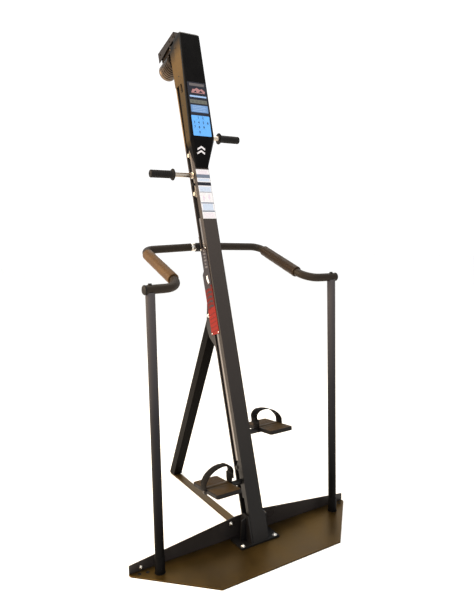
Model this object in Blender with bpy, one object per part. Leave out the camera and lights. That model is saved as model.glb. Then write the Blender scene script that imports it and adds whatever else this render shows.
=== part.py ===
"""Vertical climber machine: a leaning mast on a floor plate, with a pedal and a handle on each side
that climb together, left against right, on a chain loop inside the mast.

Frame: metres, +X to the user's right, +Y away from the user, +Z up.  The origin is the mast's foot
centre on the floor.  Mast parts are drawn in the mast's own frame, an empty turned back by LEAN:
x across, y towards the back (front face at -MAST_DEPTH / 2) and z along the mast, called s below.
"""
import math

import bmesh
import bpy
from mathutils import Matrix, Vector

# ---------------------------------------------------------------- driving dimensions
GAP = 0.0003                     # clearance between pieces that touch
LEAN = math.radians(15.3)        # mast leans back from the user

PLATE_T = 0.006                  # base plate thickness
PLATE_FRONT_HALF = 0.299         # half the straight front edge
PLATE_FRONT_Y = -0.214
PLATE_TIP_HALF = 0.567           # half the width over the side tips
PLATE_BACK_Y = 0.077
TIP_RADIUS = 0.012
WALL_T = 0.005                   # upright flange along the plate's back edge
WALL_TIP_Z = 0.041
WALL_MID_Z = 0.102
WALL_MID_HALF = 0.060            # the flange's top is level this far from the middle

MAST_WIDTH = 0.073
MAST_DEPTH = 0.070
MAST_WALL = 0.004
MAST_WEB = 0.005
MAST_RETURN_Y = -0.012           # the front box's side walls end here
MAST_LIP = 0.004                 # rear lip that the rollers run on
MAST_TOP_S = 2.4360
HOOD_LOW_S = (2.4030, 2.3880)    # the hood skirt's lower edge at the mast and at the rear
HANGER_X = (0.0280, 0.0310)      # hanger plates under the hood, beside the load unit's crown
HANGER_Y = (0.0495, 0.1500)
HANGER_LOW_S = 2.3797

FOOT_BOLT = (0.083, -0.019)      # x and y of the screws that hold the mast's foot bracket
BRACKET_T = 0.008
BOLT_HEAD_Z = PLATE_T + BRACKET_T + 2 * GAP

POST_X = 0.455
POST_Y = 0.018
POST_R = 0.019
RAIL_Z = 1.150                   # centre of the hand rail over the post
RAIL_R = 0.0185
FOAM_R = 0.0250
TUBE_WALL = 0.0025
RAIL_CORNERS = (
    (0.477, 0.0161, RAIL_Z), (0.317, 0.0300, 1.151), (0.316, 0.4200, 1.294), (0.052, 0.4200, 1.303),
)
RAIL_BENDS = (0.080, 0.050)      # front and rear bend radius
RAIL_AT_MAST = (1.3661, 0.0616)  # s and distance behind the mast's middle, where the rails meet the mast
FOAM_Y = (0.1015, 0.369)         # the foam grip's run along the rail's side stretch

LEG_SIZE = 0.050
LEG_FOOT_Y = 0.8463              # where the leg's centre line meets the floor
LEG_SLOPE = 0.528                # metres forward for each metre up
FLOOR_BAR_HALF = 0.019
FLOOR_BAR_T = 0.010

SHAFT_S = 2.342                  # drive shaft through the mast's head
IDLER_S = 0.085
CHAIN_R = 0.020                  # pitch radius of both sprockets
CHAIN_Y = -0.020                 # middle plane of the chain, in the front box
CHAIN_HALF_T = 0.003
CHAIN_HALF_W = 0.0035

FOOT_S = 0.368                   # pedal axle height along the mast when both sides are level
HAND_S = 1.807                   # handle height along the mast when both sides are level
STAGGER = 0.101                  # at rest the right side is up and the left side down by this much
PEDAL_TILT = math.radians(6.0)   # heel edge up
PEDAL_IN = 0.094
PEDAL_OUT = 0.2170
PEDAL_HALF_L = 0.1130
PEDAL_TOP = 0.014                # tread above the axle's centre
PEDAL_PLATE_T = 0.017
AXLE_R = 0.007
STRAP_RISE = 0.082               # top of the strap above the tread
STRAP_HALF_W = 0.025
STRAP_T = 0.0035

BAR_X = (0.0215, 0.0275)         # link bar, from the mast's middle
BAR_Y = (-0.011, 0.0100)
BAR_RIB_X = 0.0355               # outer face of the link bar's rib, between the two carriages
CARRIAGE_X = (0.0285, 0.0315)
ROLLER_X = (0.0318, 0.0358)
ROLLER_R = 0.0090
ROLLER_Y = MAST_DEPTH / 2 - MAST_WALL - MAST_LIP - ROLLER_R - 0.0004
PIN_R = 0.0030
ROD_R = 0.0110
GRIP_IN = 0.139
GRIP_OUT = 0.258
GRIP_R = 0.0185
FLANGE_R = 0.0280
HEIGHT_STEP = 0.025              # spacing of the holes that set the handle's height
LOCK_DROP = -0.045               # the lock pin's place below the handle

CONSOLE_BACK_Y = -MAST_DEPTH / 2 - 0.0008
CONSOLE_LEVELS = (               # s, half width, front y, front chamfer
    (1.732, 0.0320, -0.0400, 0.0020),
    (1.850, 0.0630, -0.0900, 0.0120),
    (1.866, 0.0628, -0.0911, 0.0050),
    (2.377, 0.0515, -0.1215, 0.0040),
    (2.390, 0.0500, -0.1100, 0.0040),
)
CONSOLE_WALL = 0.0022
OVERLAY_S = (1.848, 2.134)
OVERLAY_HALF = 0.0500

SEGMENTS = 16                    # sides of a round piece

# ---------------------------------------------------------------- materials
COLOURS = {                      # colour, roughness, metallic
    "black_paint": ((0.045, 0.042, 0.042), 0.38, 0.3),
    "bronze_paint": ((0.075, 0.048, 0.026), 0.35, 0.5),
    "plated_steel": ((0.55, 0.52, 0.48), 0.28, 1.0),
    "zinc_fastener": ((0.70, 0.70, 0.68), 0.30, 1.0),
    "black_foam": ((0.035, 0.032, 0.030), 0.85, 0.0),
    "black_rubber": ((0.020, 0.020, 0.020), 0.70, 0.0),
    "strap_webbing": ((0.018, 0.018, 0.018), 0.80, 0.0),
    "white_nylon": ((0.80, 0.79, 0.74), 0.45, 0.0),
    "black_nylon": ((0.030, 0.030, 0.030), 0.45, 0.0),
    "console_shell": ((0.020, 0.019, 0.019), 0.45, 0.0),
    "keypad_film": ((0.16, 0.45, 0.85), 0.30, 0.0),
    "cover_red": ((0.25, 0.02, 0.01), 0.35, 0.0),
    "chain_steel": ((0.18, 0.17, 0.16), 0.40, 1.0),
    "drum_alloy": ((0.35, 0.27, 0.19), 0.40, 0.8),
    "board_green": ((0.02, 0.12, 0.05), 0.50, 0.0),
}


def make_materials():
    made = {}
    for name, (colour, roughness, metallic) in COLOURS.items():
        mat = bpy.data.materials.new(name)
        mat.use_nodes = True
        shader = mat.node_tree.nodes["Principled BSDF"]
        shader.inputs["Base Color"].default_value = (*colour, 1.0)
        shader.inputs["Roughness"].default_value = roughness
        shader.inputs["Metallic"].default_value = metallic
        made[name] = mat
    return made


# ---------------------------------------------------------------- building blocks
def add_empty(name, matrix, parent=None):
    """An empty at a place given in its parent's frame."""
    empty = bpy.data.objects.new(name, None)
    bpy.context.collection.objects.link(empty)
    empty.parent = parent
    empty.matrix_local = matrix
    return empty


def add_object(name, bm, mat, parent=None):
    bmesh.ops.recalc_face_normals(bm, faces=bm.faces)
    mesh = bpy.data.meshes.new(name)
    bm.to_mesh(mesh)
    bm.free()
    mesh.shade_smooth()
    mesh.set_sharp_from_angle(angle=math.radians(35))
    obj = bpy.data.objects.new(name, mesh)
    bpy.context.collection.objects.link(obj)
    obj.data.materials.append(bpy.data.materials[mat])
    obj.parent = parent
    return obj


def place(axis, a, b, c):
    """A point from an outline's two coordinates a, b and its place c along the extrusion axis."""
    return {"X": (c, a, b), "Y": (a, c, b), "Z": (a, b, c)}[axis]


def extrude_into(bm, outline, axis, start, end):
    """Closed prism: the outline lies across the axis and runs from start to end along it."""
    low = [bm.verts.new(place(axis, a, b, start)) for a, b in outline]
    high = [bm.verts.new(place(axis, a, b, end)) for a, b in outline]
    count = len(outline)
    bm.faces.new(low)
    bm.faces.new(reversed(high))
    for i in range(count):
        j = (i + 1) % count
        bm.faces.new((low[i], high[i], high[j], low[j]))


def prism(name, mat, outline, axis, start, end, parent=None):
    bm = bmesh.new()
    extrude_into(bm, outline, axis, start, end)
    return add_object(name, bm, mat, parent)


def box(name, mat, x, y, z, parent=None):
    """A box from its (low, high) range along each axis."""
    outline = [(x[0], y[0]), (x[1], y[0]), (x[1], y[1]), (x[0], y[1])]
    return prism(name, mat, outline, "Z", z[0], z[1], parent)


def turn_into(bm, profile, start, axis, segments=SEGMENTS):
    """A turned solid: profile is (distance along the axis, radius) from one end to the other.

    A profile that ends on its first point makes a ring; otherwise its ends are closed with discs.
    """
    ring = profile[0] == profile[-1]
    points = profile[:-1] if ring else profile
    turn = Vector((0, 0, 1)).rotation_difference(Vector(axis)).to_matrix()
    loops = []
    for along, radius in points:
        loop = []
        for i in range(segments):
            angle = 2 * math.pi * i / segments
            local = Vector((radius * math.cos(angle), radius * math.sin(angle), along))
            loop.append(bm.verts.new(Vector(start) + turn @ local))
        loops.append(loop)
    pairs = list(zip(loops, loops[1:] + loops[:1])) if ring else list(zip(loops, loops[1:]))
    for lower, upper in pairs:
        for i in range(segments):
            j = (i + 1) % segments
            bm.faces.new((lower[i], lower[j], upper[j], upper[i]))
    if not ring:
        bm.faces.new(reversed(loops[0]))
        bm.faces.new(loops[-1])


def turned(name, mat, profile, start, axis, parent=None, segments=SEGMENTS):
    bm = bmesh.new()
    turn_into(bm, profile, start, axis, segments)
    return add_object(name, bm, mat, parent)


def ring_profile(start, end, inner, outer):
    return [(start, inner), (start, outer), (end, outer), (end, inner), (start, inner)]


def round_bar(name, mat, start, axis, length, radius, parent=None, segments=SEGMENTS):
    return turned(name, mat, [(0, radius), (length, radius)], start, axis, parent, segments)


def sweep_tube(name, mat, path, outer, inner, parent=None, segments=SEGMENTS):
    """A tube along a path, hollow and open at both ends."""
    points = [Vector(p) for p in path]
    bm = bmesh.new()
    normal = None
    sections = []
    for i, point in enumerate(points):
        ahead = points[min(i + 1, len(points) - 1)] - point
        behind = point - points[max(i - 1, 0)]
        tangent = (ahead.normalized() + behind.normalized()).normalized()
        if normal is None:
            normal = tangent.orthogonal()
        normal = (normal - tangent * normal.dot(tangent)).normalized()
        side = tangent.cross(normal)
        rings = []
        for radius in (outer, inner):
            ring = []
            for k in range(segments):
                angle = 2 * math.pi * k / segments
                offset = normal * math.cos(angle) + side * math.sin(angle)
                ring.append(bm.verts.new(point + offset * radius))
            rings.append(ring)
        sections.append(rings)
    for (outer_a, inner_a), (outer_b, inner_b) in zip(sections, sections[1:]):
        for k in range(segments):
            m = (k + 1) % segments
            bm.faces.new((outer_a[k], outer_a[m], outer_b[m], outer_b[k]))
            bm.faces.new((inner_a[k], inner_b[k], inner_b[m], inner_a[m]))
    for outer_ring, inner_ring in (sections[0], sections[-1]):
        for k in range(segments):
            m = (k + 1) % segments
            bm.faces.new((outer_ring[k], inner_ring[k], inner_ring[m], outer_ring[m]))
    return add_object(name, bm, mat, parent)


def arc(centre, radius, start, end, steps):
    """Points of an arc in an outline, angles in degrees."""
    points = []
    for i in range(steps + 1):
        angle = math.radians(start + (end - start) * i / steps)
        points.append((centre[0] + radius * math.cos(angle), centre[1] + radius * math.sin(angle)))
    return points


def rounded_path(corners, radii, steps=5):
    """A path of straight runs with each inner corner rounded by an arc of its own radius."""
    corners = [Vector(c) for c in corners]
    path = [corners[0]]
    for before, corner, after, radius in zip(corners, corners[1:], corners[2:], radii):
        back = (before - corner).normalized()
        ahead = (after - corner).normalized()
        half = back.angle(ahead) / 2
        reach = radius / math.tan(half)
        middle = corner + (back + ahead).normalized() * radius / math.sin(half)
        first = corner + back * reach - middle
        last = corner + ahead * reach - middle
        for i in range(steps + 1):
            path.append(middle + first.lerp(last, i / steps).normalized() * radius)
    path.append(corners[-1])
    return path


def boolean(obj, tool, operation):
    """Joins the tool to the object or cuts it away; the tool stays as a hidden guide."""
    tool.hide_render = True
    tool.display_type = "WIRE"
    modifier = obj.modifiers.new(operation.lower(), "BOOLEAN")
    modifier.operation = operation
    modifier.object = tool
    modifier.solver = "EXACT"
    return obj


def bevel(obj, width, segments=1, angle=30):
    modifier = obj.modifiers.new("bevel", "BEVEL")
    modifier.width = width
    modifier.segments = segments
    modifier.limit_method = "ANGLE"
    modifier.angle_limit = math.radians(angle)
    return obj


# ---------------------------------------------------------------- base
def make_base_plate():
    """Flat steel plate on the floor, narrow at the front and pointed at both sides."""
    half = [(PLATE_FRONT_HALF, PLATE_FRONT_Y)]
    centre = (PLATE_TIP_HALF - TIP_RADIUS, PLATE_BACK_Y - TIP_RADIUS)
    half += arc(centre, TIP_RADIUS, -45, 0, 3)
    half.append((PLATE_TIP_HALF, PLATE_BACK_Y))
    outline = half + [(-x, y) for x, y in reversed(half)]
    plate = prism("base_plate", "bronze_paint", outline, "Z", 0.0, PLATE_T)
    bevel(plate, 0.001)
    return drill_foot_holes(plate, "plate")


def drill_foot_holes(obj, label):
    x, y = FOOT_BOLT
    for side, name in ((-1, "left"), (1, "right")):
        drill = round_bar(f"{label}_{name}_hole_guide", "black_paint", (side * x, y, -0.01), (0, 0, 1), 0.04,
                          0.0054, segments=12)
        boolean(obj, drill, "DIFFERENCE")
    return obj


def make_rear_wall():
    """Upright flange along the plate's back edge, highest behind the mast."""
    foot = PLATE_T + GAP
    tip = PLATE_TIP_HALF - 0.001
    outline = [(-tip, foot), (tip, foot), (tip, WALL_TIP_Z), (WALL_MID_HALF, WALL_MID_Z),
               (-WALL_MID_HALF, WALL_MID_Z), (-tip, WALL_TIP_Z)]
    wall = prism("rear_wall", "black_paint", outline, "Y", PLATE_BACK_Y - WALL_T, PLATE_BACK_Y)
    return bevel(wall, 0.001)


def make_foot_bracket():
    """U bracket that holds the mast's foot, with a rib outside each cheek."""
    bottom = PLATE_T + GAP
    top = bottom + BRACKET_T
    front_y, back_y = -0.034, 0.062
    bracket = box("mast_foot_bracket", "black_paint", (-0.100, 0.100), (front_y, back_y), (bottom, top))
    cheek_in = MAST_WIDTH / 2 + 0.0008
    cheek_out = cheek_in + 0.008
    profile = [(-0.031, top - 0.002), (0.058, top - 0.002), (0.060, 0.095), (0.036, 0.128), (0.000, 0.128)]
    rib = [(cheek_out - 0.002, top - 0.002), (0.074, top - 0.002), (0.066, 0.105), (cheek_out - 0.002, 0.115)]
    for side, label in ((-1, "left"), (1, "right")):
        span = sorted((side * cheek_in, side * cheek_out))
        cheek = prism(f"foot_{label}_cheek_guide", "black_paint", profile, "X", span[0], span[1])
        boolean(bracket, cheek, "UNION")
        points = [(side * x, z) for x, z in rib]
        web = prism(f"foot_{label}_rib_guide", "black_paint", points, "Y", 0.016, 0.023)
        boolean(bracket, web, "UNION")
    return drill_foot_holes(bracket, "bracket")


def make_floor_bar():
    start = PLATE_BACK_Y + GAP
    outline = [(start, 0.0), (0.873, 0.0), (0.873, FLOOR_BAR_T), (start, FLOOR_BAR_T)]
    bar = prism("floor_bar", "bronze_paint", outline, "X", -FLOOR_BAR_HALF, FLOOR_BAR_HALF)
    return bevel(bar, 0.001)


def leg_line(z, offset):
    """y of a line parallel to the leg, offset backwards square to it."""
    return LEG_FOOT_Y - LEG_SLOPE * z + offset * math.hypot(1.0, LEG_SLOPE)


def leg_end(offset, back):
    """Where a line of the leg meets the plane that lies this far behind the mast's middle."""
    mast_slope = math.tan(LEAN)
    plane_y = back / math.cos(LEAN)
    z = (leg_line(0.0, offset) - plane_y) / (mast_slope + LEG_SLOPE)
    return mast_slope * z + plane_y, z


def make_rear_leg():
    """Square tube from the floor bar up to the mast's back, open at both ends."""
    foot = FLOOR_BAR_T + GAP
    behind = MAST_DEPTH / 2 + 0.0085
    outlines = []
    for half, extra in ((LEG_SIZE / 2, 0.0), (LEG_SIZE / 2 - 0.003, 0.03)):
        low = foot - extra
        outlines.append([(leg_line(low, -half), low), (leg_line(low, half), low),
                         leg_end(half, behind - extra), leg_end(-half, behind - extra)])
    leg = prism("rear_leg", "black_paint", outlines[0], "X", -LEG_SIZE / 2, LEG_SIZE / 2)
    bevel(leg, 0.002)
    inner = LEG_SIZE / 2 - 0.003
    return boolean(leg, prism("leg_bore_guide", "black_paint", outlines[1], "X", -inner, inner), "DIFFERENCE")


def make_leg_bracket(mast):
    """Plate on the mast's back with two cheeks beside the leg's head."""
    plate_y = (MAST_DEPTH / 2 + GAP, MAST_DEPTH / 2 + 0.008)
    bracket = box("leg_bracket", "black_paint", (-0.034, 0.034), plate_y, (0.860, 1.120), mast)
    cheek = [(plate_y[1] - 0.002, 0.870), (plate_y[1] - 0.002, 1.110), (0.058, 1.105), (0.104, 0.985),
             (0.092, 0.930)]
    for side, label in ((-1, "left"), (1, "right")):
        span = sorted((side * 0.0256, side * 0.0316))
        guide = prism(f"leg_{label}_cheek_guide", "black_paint", cheek, "X", span[0], span[1], mast)
        boolean(bracket, guide, "UNION")
    return bracket


# ---------------------------------------------------------------- side posts and hand rails
def rail_path(side):
    return rounded_path([(side * x, y, z) for x, y, z in RAIL_CORNERS], RAIL_BENDS)


def rail_direction(side):
    path = rail_path(side)
    return (path[1] - path[0]).normalized()


def make_post(side, label):
    """Upright tube whose top is coped to the underside of the rail."""
    foot = PLATE_T + GAP
    height = RAIL_Z - 0.6 * RAIL_R - foot
    post = turned(f"{label}_post", "black_paint",
                  ring_profile(0.0, height, POST_R - TUBE_WALL, POST_R),
                  (side * POST_X, POST_Y, foot), (0, 0, 1), segments=20)
    direction = rail_direction(side)
    start = Vector((side * POST_X, POST_Y, RAIL_Z)) - direction * 0.05
    cope = round_bar(f"{label}_post_cope_guide", "black_paint", start, direction, 0.1, RAIL_R + 2 * GAP)
    return boolean(post, cope, "DIFFERENCE")


def make_post_socket(side, label):
    """Sleeve welded to the plate round the post's foot."""
    turned(f"{label}_post_socket", "black_paint", ring_profile(0.0, 0.070, POST_R + GAP, POST_R + 0.0030),
           (side * POST_X, POST_Y, PLATE_T + GAP), (0, 0, 1), segments=20)


def make_hand_rail(side, label):
    sweep_tube(f"{label}_hand_rail", "black_paint", rail_path(side), RAIL_R, RAIL_R - TUBE_WALL)
    front, back = (Vector((side * x, y, z)) for x, y, z in RAIL_CORNERS[1:3])
    low, high = (front.lerp(back, (y - front.y) / (back.y - front.y)) for y in FOAM_Y)
    run = high - low
    bore = (RAIL_R + GAP) / math.cos(math.pi / SEGMENTS)
    profile = ring_profile(0.0, run.length, bore, FOAM_R)
    turned(f"{label}_rail_foam", "black_foam", profile, low, run.normalized())


def make_rail_end_cap(side, label):
    """Plug with a domed face on the rail's outer end."""
    dome = [(0.0, 0.0190), (0.003, 0.0190), (0.007, 0.0150), (0.009, 0.0070)]
    outward = -rail_direction(side)
    turned(f"{label}_rail_end_cap", "black_rubber", dome, rail_path(side)[0] + outward * GAP, outward)


def make_rail_bracket(mast):
    """Cross sleeve behind the mast that joins both hand rails to it."""
    s, back = RAIL_AT_MAST
    bracket = round_bar("rail_bracket", "black_paint", (-0.0495, back, s), (1, 0, 0), 0.099, 0.0215, mast)
    plate_y = (MAST_DEPTH / 2 + GAP, MAST_DEPTH / 2 + 0.008)
    plate = box("rail_plate_guide", "black_paint", (-0.034, 0.034), plate_y, (s - 0.045, s + 0.045), mast)
    block = box("rail_block_guide", "black_paint", (-0.020, 0.020), (plate_y[1] - 0.002, back),
                (s - 0.019, s + 0.019), mast)
    boolean(bracket, plate, "UNION")
    return boolean(bracket, block, "UNION")


# ---------------------------------------------------------------- mast
def mast_section():
    """Section of the mast: a closed-sided front box, a web and a rear wall with roller lips."""
    w, d = MAST_WIDTH / 2, MAST_DEPTH / 2
    half = [(w, -d), (w, MAST_RETURN_Y), (w - MAST_WALL, MAST_RETURN_Y), (w - MAST_WALL, -d + MAST_WALL),
            (MAST_WEB / 2, -d + MAST_WALL), (MAST_WEB / 2, d - MAST_WALL), (w - MAST_WALL, d - MAST_WALL),
            (w - MAST_WALL, d - MAST_WALL - MAST_LIP), (w, d - MAST_WALL - MAST_LIP), (w, d)]
    return half + [(-x, y) for x, y in reversed(half)]


def make_mast(mast):
    """The extrusion, cut level at its foot, with windows in the web for the sprockets."""
    body = prism("mast", "black_paint", mast_section(), "Z", -0.030, MAST_TOP_S, mast)
    foot = PLATE_T + BRACKET_T + 2 * GAP
    below = box("mast_foot_cut_guide", "black_paint", (-0.1, 0.1), (-0.1, 0.1), (-0.1, foot))
    boolean(body, below, "DIFFERENCE")
    inside = MAST_DEPTH / 2 - MAST_WALL
    windows = (("top", SHAFT_S - 0.045, SHAFT_S + 0.045), ("foot", IDLER_S - 0.045, IDLER_S + 0.045))
    for label, low, high in windows:
        guide = box(f"web_{label}_window_guide", "black_paint", (-0.010, 0.010), (-inside, inside),
                    (low, high), mast)
        boolean(body, guide, "DIFFERENCE")
    bore = round_bar("shaft_bore_guide", "black_paint", (0, inside - 0.005, SHAFT_S), (0, 1, 0),
                     0.015, 0.011, mast)
    return boolean(body, bore, "DIFFERENCE")


def make_track_cover(side, label, mast):
    """Side cover with the red graphic, over the track in the middle of the mast."""
    x = sorted((side * (MAST_WIDTH / 2 + GAP), side * (MAST_WIDTH / 2 + 0.0022)))
    outline = [(-0.022, 0.934), (0.050, 0.934), (0.050, 1.225),
               (0.034, 1.240), (0.034, 1.350), (-0.022, 1.350)]
    return prism(f"{label}_track_cover", "cover_red", outline, "X", x[0], x[1], mast)


def make_head_cover(side, label, mast):
    x = sorted((side * (MAST_WIDTH / 2 + GAP), side * (MAST_WIDTH / 2 + 0.0022)))
    outline = [(-0.0335, 2.170), (0.028, 2.170), (0.036, 2.178), (0.036, 2.391), (-0.0335, 2.391)]
    return prism(f"{label}_head_cover", "bronze_paint", outline, "X", x[0], x[1], mast)


def make_hood(mast):
    """Inverted channel over the mast's head, with a hanger plate down to each side of the load unit."""
    inner = MAST_WIDTH / 2 + GAP
    outer = inner + 0.0035
    under = MAST_TOP_S + GAP
    top = under + 0.004
    front, back = -0.033, 0.165
    hood = box("hood_channel", "black_paint", (-outer, outer), (front, back), (under, top), mast)
    skirt = [(front, HOOD_LOW_S[0]), (0.045, HOOD_LOW_S[0]), (back, HOOD_LOW_S[1]), (back, top - 0.001),
             (front, top - 0.001)]
    for side, label in ((-1, "left"), (1, "right")):
        span = sorted((side * inner, side * outer))
        guide = prism(f"hood_{label}_skirt_guide", "black_paint", skirt, "X", span[0], span[1], mast)
        boolean(hood, guide, "UNION")
        span = sorted((side * HANGER_X[0], side * HANGER_X[1]))
        drop = (HANGER_LOW_S, top - 0.001)
        hanger = box(f"hood_{label}_hanger_guide", "black_paint", span, HANGER_Y, drop, mast)
        boolean(hood, hanger, "UNION")
    return hood


# ---------------------------------------------------------------- console
def console_ring(half, front, chamfer):
    return [(-half, CONSOLE_BACK_Y), (-half, front + chamfer), (-half + chamfer, front),
            (half - chamfer, front), (half, front + chamfer), (half, CONSOLE_BACK_Y)]


def make_console_housing(mast):
    """Wedge-shaped front shell, open at the back, with an oval slot through each side."""
    bm = bmesh.new()
    rings = []
    for s, half, front, chamfer in CONSOLE_LEVELS:
        rings.append([bm.verts.new((x, y, s)) for x, y in console_ring(half, front, chamfer)])
    for lower, upper in zip(rings, rings[1:]):
        for i in range(len(lower) - 1):
            bm.faces.new((lower[i], lower[i + 1], upper[i + 1], upper[i]))
    bm.faces.new(reversed(rings[0]))
    bm.faces.new(rings[-1])
    shell = add_object("console_housing", bm, "console_shell", mast)
    solidify = shell.modifiers.new("wall", "SOLIDIFY")
    solidify.thickness = CONSOLE_WALL
    solidify.offset = -1
    slot_centres = ((-0.060, 2.108), (-0.057, 2.138))
    outline = arc(slot_centres[0], 0.009, 175, 355, 7) + arc(slot_centres[1], 0.009, -5, 175, 7)
    slot = prism("console_slot_guide", "console_shell", outline, "X", -0.08, 0.08, mast)
    return boolean(shell, slot, "DIFFERENCE")


def face_frame(mast):
    """An empty on the console's sloping front face, z up the face and -y out of it."""
    lower, upper = CONSOLE_LEVELS[2], CONSOLE_LEVELS[3]
    slope = math.atan2(lower[2] - upper[2], upper[0] - lower[0])
    matrix = Matrix.Translation((0, lower[2], lower[0])) @ Matrix.Rotation(slope, 4, "X")
    return add_empty("console_face", matrix, mast)


def make_console_parts(mast):
    back = box("console_back", "black_paint", (-0.0470, 0.0470),
               (CONSOLE_BACK_Y - 0.0034, CONSOLE_BACK_Y - 0.0002), (1.890, 2.380), mast)
    bevel(back, 0.0008)
    face = face_frame(mast)
    base_s = CONSOLE_LEVELS[2][0]
    low, high = OVERLAY_S[0] - base_s + 0.018, OVERLAY_S[1] - base_s
    box("console_overlay", "keypad_film", (-OVERLAY_HALF, OVERLAY_HALF), (-0.0013, -GAP), (low, high), face)
    box("console_board", "board_green", (-0.040, 0.040), (0.0130, 0.0146), (low + 0.01, high - 0.01), face)


# ---------------------------------------------------------------- drive
def make_load_unit(mast):
    """Finned brake housing behind the mast's head, on the drive shaft's line."""
    fins = [(0.0, 0.030), (0.012, 0.030), (0.014, 0.042)]
    start = 0.018
    for i in range(6):
        low = start + i * 0.015
        fins += [(low, 0.0460), (low + 0.009, 0.0460), (low + 0.009, 0.0425), (low + 0.0149, 0.0425)]
    fins += [(0.110, 0.0460), (0.126, 0.0460), (0.133, 0.0400), (0.135, 0.0100)]
    cavity = [(0.128, 0.0095), (0.124, 0.0380), (0.020, 0.0380), (0.018, 0.0100), (0.0, 0.0100)]
    bottom = MAST_DEPTH / 2 + 0.0130
    profile = fins + [(0.135, 0.0095)] + cavity
    return turned("load_unit_housing", "drum_alloy", profile + [profile[0]], (0, bottom, SHAFT_S), (0, 1, 0),
                  mast, segments=24)


def make_bearing(mast):
    """Flanged bearing housing on the mast's back, between the mast and the load unit."""
    back = MAST_DEPTH / 2
    flange = [(back + GAP, 0.0083), (back + GAP, 0.0300), (back + 0.0070, 0.0300), (back + 0.0125, 0.0200),
              (back + 0.0125, 0.0083)]
    return turned("shaft_bearing", "plated_steel", flange + [flange[0]], (0, 0, SHAFT_S), (0, 1, 0), mast, 20)


def make_chain(mast):
    """Chain loop round both sprockets, drawn as its outer shape."""
    outlines = []
    for radius in (CHAIN_R + CHAIN_HALF_T, CHAIN_R - CHAIN_HALF_T):
        outlines.append(arc((0, SHAFT_S), radius, 0, 180, 10) + arc((0, IDLER_S), radius, 180, 360, 10))
    bm = bmesh.new()
    rings = []
    for y in (CHAIN_Y - CHAIN_HALF_W, CHAIN_Y + CHAIN_HALF_W):
        rings.append([[bm.verts.new((x, y, s)) for x, s in outline] for outline in outlines])
    (front_out, front_in), (back_out, back_in) = rings
    count = len(front_out)
    for i in range(count):
        j = (i + 1) % count
        bm.faces.new((front_out[i], front_out[j], front_in[j], front_in[i]))
        bm.faces.new((back_out[i], back_in[i], back_in[j], back_out[j]))
        bm.faces.new((front_out[i], back_out[i], back_out[j], front_out[j]))
        bm.faces.new((front_in[i], front_in[j], back_in[j], back_in[i]))
    return add_object("drive_chain", bm, "chain_steel", mast)


def make_shafts(mast):
    """Turning shaft, sprocket and brake disc at the top; idler sprocket on its fixed axle at the foot."""
    top = add_empty("drive_axis", Matrix.Translation((0, 0, SHAFT_S)), mast)
    foot = add_empty("idler_axis", Matrix.Translation((0, 0, IDLER_S)), mast)
    sprocket = CHAIN_R - CHAIN_HALF_T - 2 * GAP
    disc = ring_profile(-0.0025, 0.0025, 0.0083, sprocket)
    turned("top_sprocket", "plated_steel", disc, (0, CHAIN_Y, 0), (0, 1, 0), top)
    idler = ring_profile(-0.0025, 0.0025, 0.0063, sprocket)
    turned("idler_sprocket", "plated_steel", idler, (0, CHAIN_Y, 0), (0, 1, 0), foot)
    round_bar("drive_shaft", "plated_steel", (0, -0.0290, 0), (0, 1, 0), 0.190, 0.0080, top)
    profile = ring_profile(0.0, 0.030, 0.0083, 0.0340)
    turned("brake_disc", "drum_alloy", profile, (0, 0.090, 0), (0, 1, 0), top)
    inside = MAST_DEPTH / 2 - MAST_WALL - GAP
    round_bar("idler_axle", "plated_steel", (0, -inside, IDLER_S), (0, 1, 0), 2 * inside, 0.0060, mast)


# ---------------------------------------------------------------- climbing sides
def make_link_bar(side, label, climb, foot, hand):
    """Flat bar that ties the pedal to the handle, with a lug on the chain and height holes."""
    x = sorted((side * BAR_X[0], side * BAR_X[1]))
    lug = CHAIN_Y + CHAIN_HALF_W + 0.0008
    middle = (foot + hand) / 2
    outline = [(BAR_Y[0], foot - 0.075), (BAR_Y[1], foot - 0.075), (BAR_Y[1], hand + 0.130),
               (BAR_Y[0], hand + 0.130), (BAR_Y[0], middle + 0.030), (lug, middle + 0.020),
               (lug, middle - 0.020), (BAR_Y[0], middle - 0.030)]
    bar = prism(f"{label}_link_bar", "plated_steel", outline, "X", x[0], x[1], climb)
    rib_x = sorted((side * (BAR_X[1] - 0.001), side * BAR_RIB_X))
    rib = box(f"{label}_rib_guide", "plated_steel", (rib_x[0], rib_x[1]), (BAR_Y[0], BAR_Y[1]),
              (foot + 0.092, hand - 0.215), climb)
    boolean(bar, rib, "UNION")
    bm = bmesh.new()
    for step in range(-4, 3):
        s = hand + LOCK_DROP + step * HEIGHT_STEP
        turn_into(bm, [(0, 0.0036), (0.02, 0.0036)], (side * 0.015, 0, s), (side, 0, 0), 8)
    holes = add_object(f"{label}_height_holes_guide", bm, "plated_steel", climb)
    return boolean(bar, holes, "DIFFERENCE")


def carriage_outline(low, high, rollers):
    """Carriage plate seen from its side: a strip with a tab behind it at each roller."""
    front, back, tab = -0.0108, 0.0095, ROLLER_Y + PIN_R + 0.0010
    points = [(front, low), (back, low)]
    for s in rollers:
        points += [(back, s - 0.018), (tab, s - 0.010), (tab, s + 0.010), (back, s + 0.018)]
    return points + [(back, high), (front, high)]


def make_carriage(name, finish, side, parent, span, rollers):
    """Plate carriage over a span of s, with a pin for each roller on the outline's tabs."""
    x = sorted((side * CARRIAGE_X[0], side * CARRIAGE_X[1]))
    plate = prism(name, finish, carriage_outline(span[0], span[1], rollers), "X", x[0], x[1], parent)
    root = CARRIAGE_X[0] + 0.001
    for number, s in enumerate(rollers):
        pin = round_bar(f"{name}_pin_{number}_guide", finish, (side * root, ROLLER_Y, s), (side, 0, 0),
                        ROLLER_X[1] - root, PIN_R, parent, 8)
        boolean(plate, pin, "UNION")
    return plate


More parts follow.
